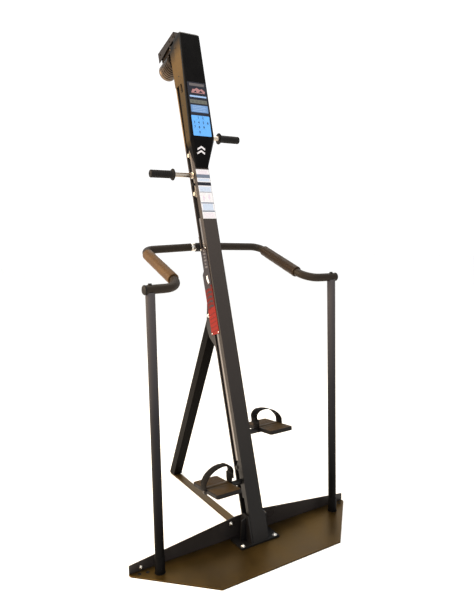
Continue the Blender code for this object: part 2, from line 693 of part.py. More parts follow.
def make_roller(name, finish, side, climb, s):
    """Nylon roller on its carriage's pin, running on the mast's rear lip."""
    axis = add_empty(f"{name}_axis", Matrix.Translation((0, ROLLER_Y, s)), climb)
    profile = ring_profile(ROLLER_X[0], ROLLER_X[1], PIN_R + GAP, ROLLER_R)
    turned(name, finish, profile, (0, 0, 0), (side, 0, 0), axis)


def strap_outline(side):
    """Band over the foot, in the pedal's own x and z, hooked down outside both of its edges."""
    middle = (PEDAL_IN + PEDAL_OUT) / 2
    reach = (PEDAL_OUT - PEDAL_IN) / 2 + 0.0010
    shoulder = PEDAL_TOP + 0.022
    rise = STRAP_RISE - 0.022 - STRAP_T
    foot = AXLE_R + 0.0015
    lean = 0.028                     # the top of the arch leans to the mast
    rims = []
    for extra in (STRAP_T, 0.0):
        rim = [(middle - reach - extra, foot)]
        for i in range(13):
            angle = math.pi * (1 - i / 12)
            height = math.sin(angle) ** 0.8
            x = middle + (reach + extra) * math.cos(angle) - lean * height
            rim.append((x, shoulder + (rise + extra) * height))
        rim.append((middle + reach + extra, foot))
        rims.append(rim)
    outline = rims[0] + list(reversed(rims[1]))
    return [(side * x, z) for x, z in outline]


def make_pedal(side, label, climb, foot):
    """Pedal that rocks on its axle, with its strap."""
    world_level = Matrix.Rotation(LEAN - PEDAL_TILT, 4, "X")
    rock = add_empty(f"{label}_pedal_axis", Matrix.Translation((0, 0, foot)) @ world_level, climb)
    corner = 0.012
    half_l = PEDAL_HALF_L
    x_in, x_out = PEDAL_IN, PEDAL_OUT
    outline = (arc((x_out - corner, half_l - corner), corner, 0, 90, 3)
               + arc((x_in + corner, half_l - corner), corner, 90, 180, 3)
               + arc((x_in + corner, -half_l + corner), corner, 180, 270, 3)
               + arc((x_out - corner, -half_l + corner), corner, 270, 360, 3))
    top = PEDAL_TOP
    pedal = prism(f"{label}_pedal", "black_rubber", [(side * x, y) for x, y in outline], "Z",
                  top - PEDAL_PLATE_T, top, rock)
    bevel(pedal, 0.0015)
    boss = round_bar(f"{label}_boss_guide", "black_paint", (side * (x_in + 0.001), 0, 0), (side, 0, 0),
                     x_out - x_in - 0.002, 0.0125, rock)
    boolean(pedal, boss, "UNION")
    bore = round_bar(f"{label}_pedal_bore_guide", "black_paint", (side * (x_in - 0.02), 0, 0), (side, 0, 0),
                     x_out - x_in + 0.04, AXLE_R + GAP, rock)
    boolean(pedal, bore, "DIFFERENCE")
    prism(f"{label}_foot_strap", "strap_webbing", strap_outline(side), "Y", -STRAP_HALF_W, STRAP_HALF_W, rock)


def make_handle(side, label, hand_frame):
    """Rod with a flanged rubber grip."""
    start = ROLLER_X[0] + GAP
    round_bar(f"{label}_handle_rod", "plated_steel", (side * start, 0, 0), (side, 0, 0), 0.250 - start, ROD_R,
              hand_frame)
    length = GRIP_OUT - GRIP_IN
    profile = [(0.0, ROD_R + GAP), (0.0, FLANGE_R - 0.002), (0.003, FLANGE_R), (0.006, FLANGE_R - 0.001),
               (0.010, GRIP_R + 0.002), (0.016, GRIP_R), (length - 0.006, GRIP_R),
               (length - 0.001, GRIP_R - 0.004), (length, 0.0060), (length - 0.004, 0.0060),
               (length - 0.006, ROD_R + GAP), (0.0, ROD_R + GAP)]
    turned(f"{label}_handle_grip", "black_rubber", profile, (side * GRIP_IN, 0, 0), (side, 0, 0),
           hand_frame, 20)


def make_lock_pin(side, label, hand_frame):
    """Spring pin with a knob that locks the handle's height in the link bar's holes."""
    axis = add_empty(f"{label}_lock_axis", Matrix.Translation((0, 0, LOCK_DROP)), hand_frame)
    profile = [(0.0, 0.0026), (0.0115, 0.0026), (0.0115, 0.0065), (0.0135, 0.0075),
               (0.0195, 0.0075), (0.0215, 0.0060)]
    turned(f"{label}_lock_pin", "black_rubber", profile, (side * 0.0232, 0, 0), (side, 0, 0), axis, 12)


def make_side(side, label, mast):
    """Everything that climbs on one side."""
    offset = side * STAGGER
    climb = add_empty(f"{label}_climb", Matrix.Identity(4), mast)
    foot, hand = FOOT_S + offset, HAND_S + offset
    make_link_bar(side, label, climb, foot, hand)
    foot_roller = foot + 0.060
    span = (foot - 0.072, foot + 0.086)
    carriage = make_carriage(f"{label}_foot_carriage", "black_paint", side, climb, span, [foot_roller])
    root = CARRIAGE_X[0] + 0.001
    for name, reach, radius in (("axle", 0.2215, AXLE_R), ("hub", 0.0870, 0.0120)):
        arm = round_bar(f"{label}_{name}_guide", "black_paint", (side * root, 0, foot), (side, 0, 0),
                        reach - root, radius, climb)
        boolean(carriage, arm, "UNION")
    make_pedal(side, label, climb, foot)
    make_roller(f"{label}_foot_roller", "black_nylon", side, climb, foot_roller)
    hand_frame = add_empty(f"{label}_handle_height", Matrix.Translation((0, 0, hand)), climb)
    hand_rollers = (-0.087, 0.108)
    span = (-0.109, 0.130)
    plate = make_carriage(f"{label}_handle_carriage", "plated_steel", side, hand_frame, span, hand_rollers)
    start = (side * 0.025, 0, LOCK_DROP)
    pin_hole = round_bar(f"{label}_pin_hole_guide", "plated_steel", start, (side, 0, 0), 0.010, 0.0030,
                         hand_frame, 12)
    boolean(plate, pin_hole, "DIFFERENCE")
    make_handle(side, label, hand_frame)
    make_lock_pin(side, label, hand_frame)
    for end, s in zip(("lower", "upper"), hand_rollers):
        make_roller(f"{label}_{end}_hand_roller", "white_nylon", side, hand_frame, s)


# ---------------------------------------------------------------- fasteners
def make_foot_bolt(side, label):
    """Button-head screw through the foot bracket and the base plate."""
    profile = [(0.0, 0.0050), (BOLT_HEAD_Z - 0.001, 0.0050), (BOLT_HEAD_Z - 0.001, 0.0095),
               (BOLT_HEAD_Z + 0.0015, 0.0095), (BOLT_HEAD_Z + 0.0045, 0.0060)]
    x, y = FOOT_BOLT
    turned(f"{label}_foot_bolt", "zinc_fastener", profile, (side * x, y, 0.001), (0, 0, 1), segments=12)


def main():
    for obj in list(bpy.data.objects):
        bpy.data.objects.remove(obj, do_unlink=True)
    make_materials()
    mast = add_empty("mast_frame", Matrix.Rotation(-LEAN, 4, "X"))
    make_base_plate()
    make_rear_wall()
    make_foot_bracket()
    make_floor_bar()
    make_rear_leg()
    make_leg_bracket(mast)
    make_mast(mast)
    make_hood(mast)
    make_console_housing(mast)
    make_console_parts(mast)
    make_load_unit(mast)
    make_bearing(mast)
    make_chain(mast)
    make_shafts(mast)
    make_rail_bracket(mast)
    for side, label in ((-1, "left"), (1, "right")):
        make_foot_bolt(side, label)
        make_post_socket(side, label)
        make_post(side, label)
        make_hand_rail(side, label)
        make_rail_end_cap(side, label)
        make_track_cover(side, label, mast)
        make_head_cover(side, label, mast)
        make_side(side, label, mast)


main()
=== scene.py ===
"""Studio scene of the vertical climber: finishes, soft grips, straps, printed film and fasteners
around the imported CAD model.

Frame: metres, +X to the user's right, +Y away from the user, +Z up.  Mast parts are placed in the
mast's own frame, as in the CAD: x across, y towards the back and z along the mast, called s below.
"""

from math import atan2, cos, pi, radians, sin, tan

import bmesh
import bpy
from mathutils import Matrix, Vector


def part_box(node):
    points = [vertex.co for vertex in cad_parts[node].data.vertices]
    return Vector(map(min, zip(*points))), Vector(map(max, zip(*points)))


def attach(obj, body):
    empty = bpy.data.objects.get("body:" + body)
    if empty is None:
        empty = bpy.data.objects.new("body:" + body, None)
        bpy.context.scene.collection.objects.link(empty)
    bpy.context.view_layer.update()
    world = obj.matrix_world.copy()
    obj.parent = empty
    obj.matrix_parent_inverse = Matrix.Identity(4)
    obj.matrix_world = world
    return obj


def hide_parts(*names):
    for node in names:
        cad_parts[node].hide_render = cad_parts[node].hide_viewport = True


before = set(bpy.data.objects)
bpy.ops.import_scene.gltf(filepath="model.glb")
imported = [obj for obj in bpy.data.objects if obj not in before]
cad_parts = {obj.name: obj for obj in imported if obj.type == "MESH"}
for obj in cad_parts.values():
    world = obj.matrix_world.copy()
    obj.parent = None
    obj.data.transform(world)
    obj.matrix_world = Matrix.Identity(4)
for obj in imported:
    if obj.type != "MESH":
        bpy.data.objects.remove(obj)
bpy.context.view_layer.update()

# -------- sizes shared with the CAD
LEAN = radians(15.3)
MAST = Matrix.Rotation(-LEAN, 4, "X")
MAST_HALF = 0.0365
COVER_X = 0.0387                 # outer face of the head and track covers
MAST_FRONT = -0.035
MAST_BACK = 0.035
CHEEK_X = 0.0317                 # outer face of the leg bracket's cheeks
HOOD_X = 0.0403                  # outer face of the hood
PLATE_TOP = 0.006
BRACKET_TOP = 0.0146             # top of the mast's foot bracket
WALL_FRONT_Y = 0.072
WALL_BACK_Y = 0.077

SHAFT_S = 2.342
FOOT_S = 0.368
HAND_S = 1.807
STAGGER = 0.101
LOCK_DROP = -0.045
PEDAL_TILT = radians(6.0)
PEDAL_X = (0.094, 0.217)
PEDAL_MIDDLE = (PEDAL_X[0] + PEDAL_X[1]) / 2
PEDAL_HALF_W = (PEDAL_X[1] - PEDAL_X[0]) / 2
PEDAL_TOP = 0.014
PEDAL_HALF_L = 0.113
STRAP_RISE = 0.082
STRAP_HALF_W = 0.025

POST_X = 0.455
POST_Y = 0.018
POST_R = 0.019
RAIL_Z = 1.15
RAIL_R = 0.0185
FOAM_R = 0.025
FOAM_Y = (0.1015, 0.369)
RAIL_BENDS = (0.08, 0.05)
RAIL_CORNERS = (
    (0.477, 0.0161, RAIL_Z),
    (0.317, 0.03, 1.151),
    (0.316, 0.42, 1.294),
    (0.052, 0.42, 1.303),
)
ROD_R = 0.011
GRIP_IN = 0.139
GRIP_OUT = 0.258
GRIP_R = 0.0185

FACE_LOW = (1.866, -0.0911)      # s and y where the console's long front face starts
FACE_HIGH = (2.377, -0.1215)
TAPER_LOW = (1.732, -0.04)
TAPER_HIGH = (1.85, -0.09)

SIDES = ((-1, "left"), (1, "right"))


# -------- finishes
class Finish:
    """A Principled material with helpers that add procedural detail in the object's own space."""

    def __init__(self, name, colour, roughness, metallic=0.0, **sockets):
        self.material = bpy.data.materials.new(name)
        self.material.use_nodes = True
        self.tree = self.material.node_tree
        self.shader = self.tree.nodes["Principled BSDF"]
        self.colour = colour
        self.relief = None
        self.feed("Base Color", (*colour, 1.0))
        self.feed("Roughness", roughness)
        self.feed("Metallic", metallic)
        for name, value in sockets.items():
            self.feed(name.replace("_", " "), value)

    def feed(self, name, value, node=None):
        socket = (node or self.shader).inputs[name]
        if isinstance(value, bpy.types.NodeSocket):
            self.tree.links.new(value, socket)
        else:
            socket.default_value = value

    def node(self, kind, inputs=(), **settings):
        made = self.tree.nodes.new("ShaderNode" + kind)
        for key, value in settings.items():
            setattr(made, key, value)
        for key, value in dict(inputs).items():
            self.feed(key, value, made)
        return made

    def math(self, operation, a, b=0.0):
        return self.node("Math", {0: a, 1: b}, operation=operation).outputs[0]

    def times(self, value, *others):
        for other in others:
            value = self.math("MULTIPLY", value, other)
        return value

    def place(self, stretch=(1, 1, 1)):
        """The object's own coordinates, turned so that their z runs along the mast."""
        coordinates = self.node("TexCoord").outputs["Object"]
        upright = self.node("Mapping", {"Vector": coordinates, "Rotation": (LEAN, 0, 0)})
        return self.node("Mapping", {"Vector": upright.outputs[0], "Scale": stretch}).outputs[0]

    def noise(self, scale, detail=3.0, stretch=(1, 1, 1)):
        inputs = {"Vector": self.place(stretch), "Scale": scale, "Detail": detail}
        return self.node("TexNoise", inputs).outputs["Fac"]

    def cells(self, scale):
        return self.node("TexVoronoi", {"Vector": self.place(), "Scale": scale}).outputs["Distance"]

    def remap(self, value, low, high, to_low=0.0, to_high=1.0):
        keys = ("Value", "From Min", "From Max", "To Min", "To Max")
        return self.node("MapRange", dict(zip(keys, (value, low, high, to_low, to_high)))).outputs[0]

    def mix(self, factor, a, b):
        return self.node("Mix", {0: factor, 6: a, 7: b}, data_type="RGBA").outputs[2]

    def shift_colour(self, factor, other):
        """Blend the base colour towards another by a pattern."""
        socket = self.shader.inputs["Base Color"]
        current = socket.links[0].from_socket if socket.links else (*self.colour, 1.0)
        self.feed("Base Color", self.mix(factor, current, (*other, 1.0)))

    def bump(self, height, distance, strength):
        inputs = {"Height": height, "Distance": distance, "Strength": strength}
        if self.relief:
            inputs["Normal"] = self.relief
        self.relief = self.node("Bump", inputs).outputs[0]
        self.feed("Normal", self.relief)

    def soften_edges(self, radius):
        self.relief = self.node("Bevel", {"Radius": radius}, samples=4).outputs[0]
        self.feed("Normal", self.relief)

    def worn_edges(self, radius, other):
        """Rub the finish back to another colour along sharp edges."""
        rounded = self.node("Bevel", {"Radius": radius}, samples=4).outputs[0]
        flat = self.node("NewGeometry").outputs["True Normal"]
        facing = self.node("VectorMath", {0: rounded, 1: flat}, operation="DOT_PRODUCT").outputs["Value"]
        edge = self.remap(facing, 0.97, 0.8)
        patchy = self.remap(self.noise(35, 4), 0.45, 0.62, 0.0, 0.5)
        self.shift_colour(self.times(edge, patchy), other)

    def height(self, low, high):
        """Rises from 0 to 1 between two distances s along the mast."""
        s = self.node("SeparateXYZ", {0: self.place()}).outputs[2]
        return self.remap(s, low, high)

    def under(self, low, high):
        """Falls from 1 to 0 between two distances s along the mast."""
        return self.math("SUBTRACT", 1.0, self.height(low, high))

    def back_of(self, y, slope=0.0, start=0.0, blur=0.003):
        """Rises from 0 to 1 behind a line in the mast's y that runs forward by slope as s grows."""
        split = self.node("SeparateXYZ", {0: self.place()})
        ahead = self.times(self.math("SUBTRACT", split.outputs[2], start), slope)
        return self.remap(self.math("ADD", split.outputs[1], ahead), y - blur, y + blur)

    def faces_aside(self):
        """1 on the faces that look left or right, 0 elsewhere."""
        across = self.node("SeparateXYZ", {0: self.node("TexCoord").outputs["Normal"]}).outputs[0]
        return self.remap(self.math("ABSOLUTE", across), 0.8, 0.9)

    def painted_side_light(self, low_light, high_light, roughness):
        """Painted warm side light: a lit colour on the side faces above the taper, behind the front margin
        and below the top.
        """
        slope = (FACE_LOW[1] - FACE_HIGH[1]) / (FACE_HIGH[0] - FACE_LOW[0])
        behind = self.back_of(FACE_LOW[1] + 0.017, slope, FACE_LOW[0])
        above = self.height(TAPER_HIGH[0] - 0.03, TAPER_HIGH[0] + 0.01)
        mask = self.times(self.faces_aside(), behind, above, self.under(2.29, 2.372))
        lit_colour = self.mix(self.height(2.08, 2.22), (*low_light, 1.0), (*high_light, 1.0))
        base = self.shader.inputs["Base Color"].links[0].from_socket
        self.feed("Base Color", self.mix(mask, base, lit_colour))
        self.feed("Roughness", self.remap(mask, 0.0, 1.0, 0.4, roughness))

    def painted_head_light(self, other):
        """Painted warm side light: another colour on the side faces beside the console, between its taper
        and the hood.
        """
        above = self.height(TAPER_HIGH[0] - 0.02, TAPER_HIGH[0] + 0.04)
        self.shift_colour(self.times(self.faces_aside(), above, self.under(2.32, 2.372)), other)

    def painted_shade_on_sides(self, other):
        """Painted shade: another colour on the faces that don't look up."""
        up = self.node("SeparateXYZ", {0: self.node("TexCoord").outputs["Normal"]}).outputs[2]
        self.shift_colour(self.remap(up, 0.5, 0.2), other)

    def vary(self, scale, other, amount, roughness=None, stretch=(1, 1, 1)):
        """Slow variation of colour and gloss over the surface."""
        pattern = self.noise(scale, 4.0, stretch)
        self.shift_colour(self.remap(pattern, 0.35, 0.65, 0.0, amount), other)
        if roughness:
            self.feed("Roughness", self.remap(pattern, 0.35, 0.65, *roughness))


def paint(name, colour, light, roughness=(0.34, 0.48), metallic=0.0, shine=0.2):
    """Powder coat: slow tone variation, orange peel, and lighter rubbed edges."""
    made = Finish(name, colour, sum(roughness) / 2, metallic, Specular_IOR_Level=shine)
    made.soften_edges(0.0012)
    made.vary(5, light, 0.5, roughness)
    made.worn_edges(0.0012, tuple(c * 2.0 + 0.006 for c in colour))
    made.bump(made.noise(900, 2), 0.00012, 0.5)
    return made


def plated(name, colour, roughness, stretch=(1, 1, 0.03)):
    """Bright plated metal with fine drawn lines and a few dull patches."""
    made = Finish(name, colour, sum(roughness) / 2, 1.0)
    made.soften_edges(0.0006)
    made.vary(14, tuple(c * 0.72 for c in colour), 0.7, roughness)
    made.bump(made.noise(2600, 2, stretch), 0.00005, 0.5)
    return made


def moulded(name, colour, roughness, grain, depth, light=None, shine=0.2):
    """Rubber or plastic with a fine moulded grain."""
    made = Finish(name, colour, sum(roughness) / 2, Specular_IOR_Level=shine)
    made.vary(22, light or tuple(c * 1.6 + 0.001 for c in colour), 0.6, roughness)
    made.bump(made.noise(grain, 3), depth, 0.7)
    return made


def printed(name, colour, roughness=0.3, shine=0.3):
    """Printed film: even ink with a slight mottle under a smooth skin."""
    made = Finish(name, colour, roughness, Specular_IOR_Level=shine)
    made.vary(240, tuple(c * 0.86 for c in colour), 0.5)
    made.bump(made.noise(420, 2), 0.00003, 0.4)
    return made


def make_foam(name, colour, light):
    """Closed-cell sleeve, polished by hands, with fine pores and soft dents."""
    made = Finish(name, colour, 0.46, Specular_IOR_Level=0.14, Sheen_Weight=0.04, Sheen_Roughness=0.35,
                  Sheen_Tint=(1.0, 0.62, 0.3, 1.0))
    made.vary(30, light, 0.6, (0.38, 0.54))
    made.bump(made.cells(1500), 0.00012, 0.5)
    made.bump(made.noise(70, 3), 0.0003, 0.5)
    return made


def make_webbing():
    """Plain weave drawn from the strap's own lengthwise and crosswise measure."""
    made = Finish("strap_weave", (0.002, 0.0018, 0.0018), 0.7, Specular_IOR_Level=0.04, Sheen_Weight=0.01,
                  Sheen_Roughness=0.4)
    uv = made.node("SeparateXYZ", {0: made.node("TexCoord").outputs["UV"]})
    across = made.math("SINE", made.times(uv.outputs[0], 2 * pi / 0.0022))
    along = made.math("SINE", made.times(uv.outputs[1], 2 * pi / 0.003))
    weave = made.times(across, along)
    made.shift_colour(made.remap(weave, -1.0, 1.0, 0.0, 0.8), (0.0065, 0.0057, 0.0054))
    made.vary(45, (0.01, 0.0085, 0.007), 0.35)
    made.bump(weave, 0.00025, 0.8)
    return made


BLACK = paint("black_powder_coat", (0.0105, 0.0095, 0.009), (0.016, 0.014, 0.0125), (0.36, 0.5))
MAST_BLACK = paint("mast_powder_coat", (0.006, 0.0055, 0.0054), (0.009, 0.0081, 0.0076), (0.34, 0.46),
                   shine=0.15)
# painted light and shade: the mast lighter towards its top and darker towards its foot
MAST_BLACK.shift_colour(MAST_BLACK.height(0.2, 1.5), (0.037, 0.03, 0.0265))
# painted warm side light: the mast's side faces tan beside the console, below the hood
MAST_BLACK.painted_head_light((0.135, 0.082, 0.024))
# painted shade: the black parts darker towards the floor
BLACK.shift_colour(BLACK.under(0.05, 0.75), (0.0035, 0.0033, 0.0036))
POST_BLACK = paint("post_powder_coat", (0.002, 0.0019, 0.002), (0.0034, 0.0031, 0.0031), shine=0.03)
# painted shade and light: the posts darkest near the floor and lighter towards the top
POST_BLACK.shift_colour(POST_BLACK.height(0.16, 0.7), (0.0225, 0.0218, 0.0242))
POST_BLACK.shift_colour(POST_BLACK.height(0.62, 1.25), (0.062, 0.057, 0.06))
RAIL_BLACK = paint("rail_powder_coat", (0.014, 0.0102, 0.007), (0.0225, 0.0165, 0.0112), shine=0.1)
LEG_BLACK = paint("leg_powder_coat", (0.0015, 0.0012, 0.0009), (0.004, 0.003, 0.002), shine=0.02)
WALL_BLACK = paint("wall_powder_coat", (0.013, 0.0112, 0.0108), (0.022, 0.0185, 0.0175), (0.26, 0.4))
HOOD_BLACK = paint("hood_powder_coat", (0.0085, 0.0056, 0.0038), (0.0138, 0.0088, 0.0056), shine=0.1)
BRONZE = paint("bronze_paint_satin", (0.07, 0.041, 0.0108), (0.122, 0.074, 0.021), (0.3, 0.46), 0.9,
               shine=0.02)
# painted shade: the plate's and floor bar's edges darker than their tops
BRONZE.painted_shade_on_sides((0.014, 0.0085, 0.004))
STEEL = plated("plated_steel_drawn", (0.52, 0.46, 0.39), (0.24, 0.4))
CARRIAGE_STEEL = plated("carriage_plated", (0.23, 0.195, 0.16), (0.28, 0.44))
ZINC = plated("zinc_bright", (0.72, 0.7, 0.66), (0.18, 0.32), (1, 1, 1))
BAR_STEEL = plated("link_bar_worn", (0.06, 0.05, 0.043), (0.3, 0.44))
BAR_GLINT_Y = (-0.005, 0.003)      # the mast's y between which a painted highlight runs along the bar
# painted highlight: a bright stripe along the dark bar stands in for a reflection
glint_front = BAR_STEEL.math("SUBTRACT", 1.0, BAR_STEEL.back_of(BAR_GLINT_Y[1]))
BAR_STEEL.shift_colour(BAR_STEEL.times(BAR_STEEL.back_of(BAR_GLINT_Y[0]), glint_front), (0.27, 0.255, 0.25))
DARK_STEEL = plated("chain_oiled", (0.12, 0.11, 0.1), (0.34, 0.5))
ALLOY = paint("cast_alloy", (0.085, 0.063, 0.046), (0.17, 0.125, 0.088), (0.24, 0.36), 0.95)
DRUM_ALLOY = paint("drum_alloy_cast", (0.03, 0.0215, 0.0155), (0.06, 0.043, 0.03), (0.24, 0.36), 0.95)
# painted light and shade: the drum lighter towards its rear end and darker by the mast
DRUM_ALLOY.shift_colour(DRUM_ALLOY.back_of(0.135, blur=0.04), (0.135, 0.1, 0.072))
NYLON = moulded("nylon_white", (0.52, 0.49, 0.42), (0.35, 0.5), 700, 0.00006, (0.45, 0.41, 0.34))
NYLON_BLACK = moulded("nylon_black", (0.006, 0.0055, 0.005), (0.35, 0.5), 700, 0.00006)
SHELL = moulded("console_moulding", (0.0012, 0.001, 0.001), (0.34, 0.46), 1100, 0.0001, shine=0.05)
# painted warm side light: the console's and head covers' side faces tan, lighter higher up
SHELL.painted_side_light((0.035, 0.0222, 0.006), (0.061, 0.037, 0.011), 0.34)
RUBBER = moulded("rubber_grip", (0.005, 0.0043, 0.004), (0.48, 0.66), 800, 0.00012, shine=0.12)
# painted warm top light: the tread ribs and hump browner than the black pedal body
TREAD = moulded("rubber_tread_painted_lit", (0.033, 0.0195, 0.0068), (0.42, 0.6), 600, 0.00015, shine=0.08)
# painted warm side light: the left sleeve is a lighter, warmer copy of the right sleeve's foam
FOAMS = {
    "left": make_foam("foam_sleeve_painted_lit", (0.05, 0.0238, 0.0052), (0.072, 0.036, 0.0085)),
    "right": make_foam("foam_sleeve", (0.0135, 0.0062, 0.0016), (0.022, 0.011, 0.003)),
}
WEBBING = make_webbing()
THREAD = moulded("strap_thread", (0.012, 0.011, 0.01), (0.5, 0.7), 1500, 0.00005)
NAVY = printed("film_navy", (0.0035, 0.0045, 0.012))
SKY = printed("film_sky", (0.095, 0.32, 0.7))
SKY_DEEP = printed("film_sky_deep", (0.1, 0.205, 0.4))
SKY_PALE = printed("film_sky_pale", (0.25, 0.38, 0.6))
INK = printed("film_ink", (0.005, 0.012, 0.045))
GREY = printed("film_grey", (0.09, 0.08, 0.082))
ROSE = printed("film_rose", (0.3, 0.146, 0.15))
LCD = printed("display_glass", (0.097, 0.1, 0.085), 0.16)
LCD_INK = printed("display_segment", (0.02, 0.022, 0.018))
WHITE = printed("film_white", (0.61, 0.595, 0.61))
PALE = printed("film_pale_blue", (0.43, 0.49, 0.59))
BAND = printed("film_slate", (0.115, 0.14, 0.19))
LILAC = printed("film_lilac", (0.56, 0.47, 0.56))
RED = printed("film_red", (0.15, 0.008, 0.004), 0.42, shine=0.08)
RED.shift_colour(RED.height(1.15, 1.158), (0.01, 0.004, 0.0038))
RED_DEEP = printed("film_red_deep", (0.085, 0.006, 0.0035), 0.42, shine=0.08)
CHAR = printed("film_charcoal", (0.01, 0.004, 0.0038), 0.34)
BOARD = moulded("circuit_board", (0.02, 0.12, 0.05), (0.35, 0.5), 400, 0.0001)


# -------- mesh tools
def face_frame(origin, up, out, base=Matrix.Identity(4)):
    """Matrix whose x runs across a face, y up it and z out of it."""
    out = Vector(out).normalized()
    up = Vector(up).normalized()
    across = up.cross(out)
    columns = Matrix((across, up, out)).transposed().to_4x4()
    return base @ Matrix.Translation(origin) @ columns


def pointing(origin, axis, base=Matrix.Identity(4)):
    """Matrix whose z runs along an axis."""
    turn = Vector(axis).normalized().to_track_quat("Z", "Y").to_matrix().to_4x4()
    return base @ Matrix.Translation(origin) @ turn


def around(count):
    """Angles of equal steps round a circle."""
    return [2 * pi * step / count for step in range(count)]


def join_rings(bm, low, high):
    """Faces between two rings with as many points."""
    for i in range(len(low)):
        j = (i + 1) % len(low)
        bm.faces.new((low[i], low[j], high[j], high[i]))


def hexagon(angle):
    """Radius of a unit-apothem hexagon at an angle."""
    folded = (angle + pi / 6) % (pi / 3) - pi / 6
    return 1.0 / cos(folded)


def add_lathe(bm, profile, matrix, steps, hexed=(), knurled=()):
    """Turn (radius, height) points about the matrix's z; hexed rings are hexagons, knurled ones fluted."""
    rings = []
    for index, (radius, height) in enumerate(profile):
        if radius < 1e-6:
            rings.append([bm.verts.new(matrix @ Vector((0, 0, height)))])
            continue
        ring = []
        for step, angle in enumerate(around(steps)):
            reach = radius * hexagon(angle) if index in hexed else radius
            if index in knurled:
                reach *= 1.0 - 0.06 * (step % 2)
            point = Vector((reach * cos(angle), reach * sin(angle), height))
            ring.append(bm.verts.new(matrix @ point))
        rings.append(ring)
    for low, high in zip(rings, rings[1:]):
        for i in range(steps):
            j = (i + 1) % steps
            corners = [low[i % len(low)], low[j % len(low)], high[j % len(high)], high[i % len(high)]]
            corners = list(dict.fromkeys(corners))
            if len(corners) > 2:
                bm.faces.new(corners)


def add_slab(bm, outline, matrix, low, high):
    """Extrude an outline in the matrix's x and y, from z low to z high."""
    bottom = [bm.verts.new(matrix @ Vector((x, y, low))) for x, y in outline]
    top = [bm.verts.new(matrix @ Vector((x, y, high))) for x, y in outline]
    bm.faces.new(list(reversed(bottom)))
    bm.faces.new(top)
    join_rings(bm, bottom, top)


def add_tube(bm, path, radius, sides):
    """Round tube or bar along a path, closed at both ends."""
    points = [Vector(point) for point in path]
    rings = []
    guide = Vector((0, 0, 1)).cross(points[1] - points[0])
    for i, point in enumerate(points):
        ahead = (points[min(i + 1, len(points) - 1)] - points[max(i - 1, 0)]).normalized()
        side = ahead.cross(guide).normalized()
        guide = side.cross(ahead).normalized()
        rings.append([bm.verts.new(point + radius * (cos(a) * side + sin(a) * guide))
                      for a in around(sides)])
    for low, high in zip(rings, rings[1:]):
        join_rings(bm, low, high)
    bm.faces.new(list(reversed(rings[0])))
    bm.faces.new(rings[-1])


def rounded(half_w, half_h, radius, x=0.0, y=0.0, steps=4):
    """Outline of a rectangle with round corners."""
    outline = []
    for quarter, (sx, sy) in enumerate(((1, 1), (-1, 1), (-1, -1), (1, -1))):
        for step in range(steps + 1):
            angle = pi / 2 * (quarter + step / steps)
            outline.append((x + sx * (half_w - radius) + radius * cos(angle),
                            y + sy * (half_h - radius) + radius * sin(angle)))
    return outline


def bent_path(corners, radii, steps=10):
    """A line through the corners with each inner corner rounded by its own radius."""
    points = [Vector(corners[0])]
    for before, corner, after, radius in zip(corners, corners[1:], corners[2:], radii):
        corner = Vector(corner)
        a = (Vector(before) - corner).normalized()
        b = (Vector(after) - corner).normalized()
        half = a.angle(b) / 2
        start = corner + a * (radius / tan(half))
        centre = corner + (a + b).normalized() * (radius / sin(half))
        end = corner + b * (radius / tan(half))
        for step in range(steps + 1):
            arm = (start - centre).lerp(end - centre, step / steps)
            points.append(centre + arm.normalized() * radius)
    points.append(Vector(corners[-1]))
    return points


def link(obj):
    bpy.context.scene.collection.objects.link(obj)


def piece(name, bm, finish, slot, body="frame", bevel=0.0, crease=35.0, stands_for=()):
    """Make one visible piece of a mesh, on a CAD body."""
    bmesh.ops.recalc_face_normals(bm, faces=bm.faces)
    mesh = bpy.data.meshes.new(name)
    bm.to_mesh(mesh)
    bm.free()
    mesh.materials.append(finish.material)
    mesh.shade_smooth()
    mesh.set_sharp_from_angle(angle=radians(crease))
    obj = bpy.data.objects.new(name, mesh)
    link(obj)
    if bevel:
        modifier = obj.modifiers.new("bevel", "BEVEL")
        modifier.width = bevel
        modifier.segments = 3
        modifier.limit_method = "ANGLE"
        modifier.angle_limit = radians(40)
        modifier.harden_normals = True
    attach(obj, body)
    if stands_for:
        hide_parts(*stands_for)
    return obj


def turned(name, profile, place, steps, finish, slot, **settings):
    """A piece made of one turned profile."""
    bm = bmesh.new()
    add_lathe(bm, profile, place, steps)
    return piece(name, bm, finish, slot, **settings)


def dress(nodes, finish):
    """Give CAD nodes a detailed finish."""
    for name in nodes.split():
        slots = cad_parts[name].material_slots
        slots[0].material = finish.material


# -------- studio
BACKDROP_STRENGTH = 1.12


def make_camera():
    yaw, pitch, roll = (radians(angle) for angle in (31.5, 5.43, -1.194))
    ahead = Vector((sin(yaw) * cos(pitch), cos(yaw) * cos(pitch), -sin(pitch)))
    level = Vector((cos(yaw), -sin(yaw), 0.0))
    upright = level.cross(ahead)
    up = upright * cos(roll) - level * sin(roll)
    data = bpy.data.cameras.new("photo_view")
    data.sensor_width = 36.0
    data.lens = 32.9
    data.shift_x = -0.0013
    data.shift_y = -0.0132
    camera = bpy.data.objects.new("photo_view", data)
    link(camera)
    camera.matrix_world = face_frame((-1.2585, -1.9366, 1.3359), up, -ahead)
    bpy.context.scene.camera = camera


def make_light(name, place, target, size, power, colour):
    data = bpy.data.lights.new(name, "AREA")
    data.shape = "RECTANGLE"
    data.size, data.size_y = size
    data.energy = power
    data.color = colour
    light = bpy.data.objects.new(name, data)
    link(light)
    light.location = place
    light.rotation_euler = (Vector(target) - Vector(place)).to_track_quat("-Z", "Y").to_euler()


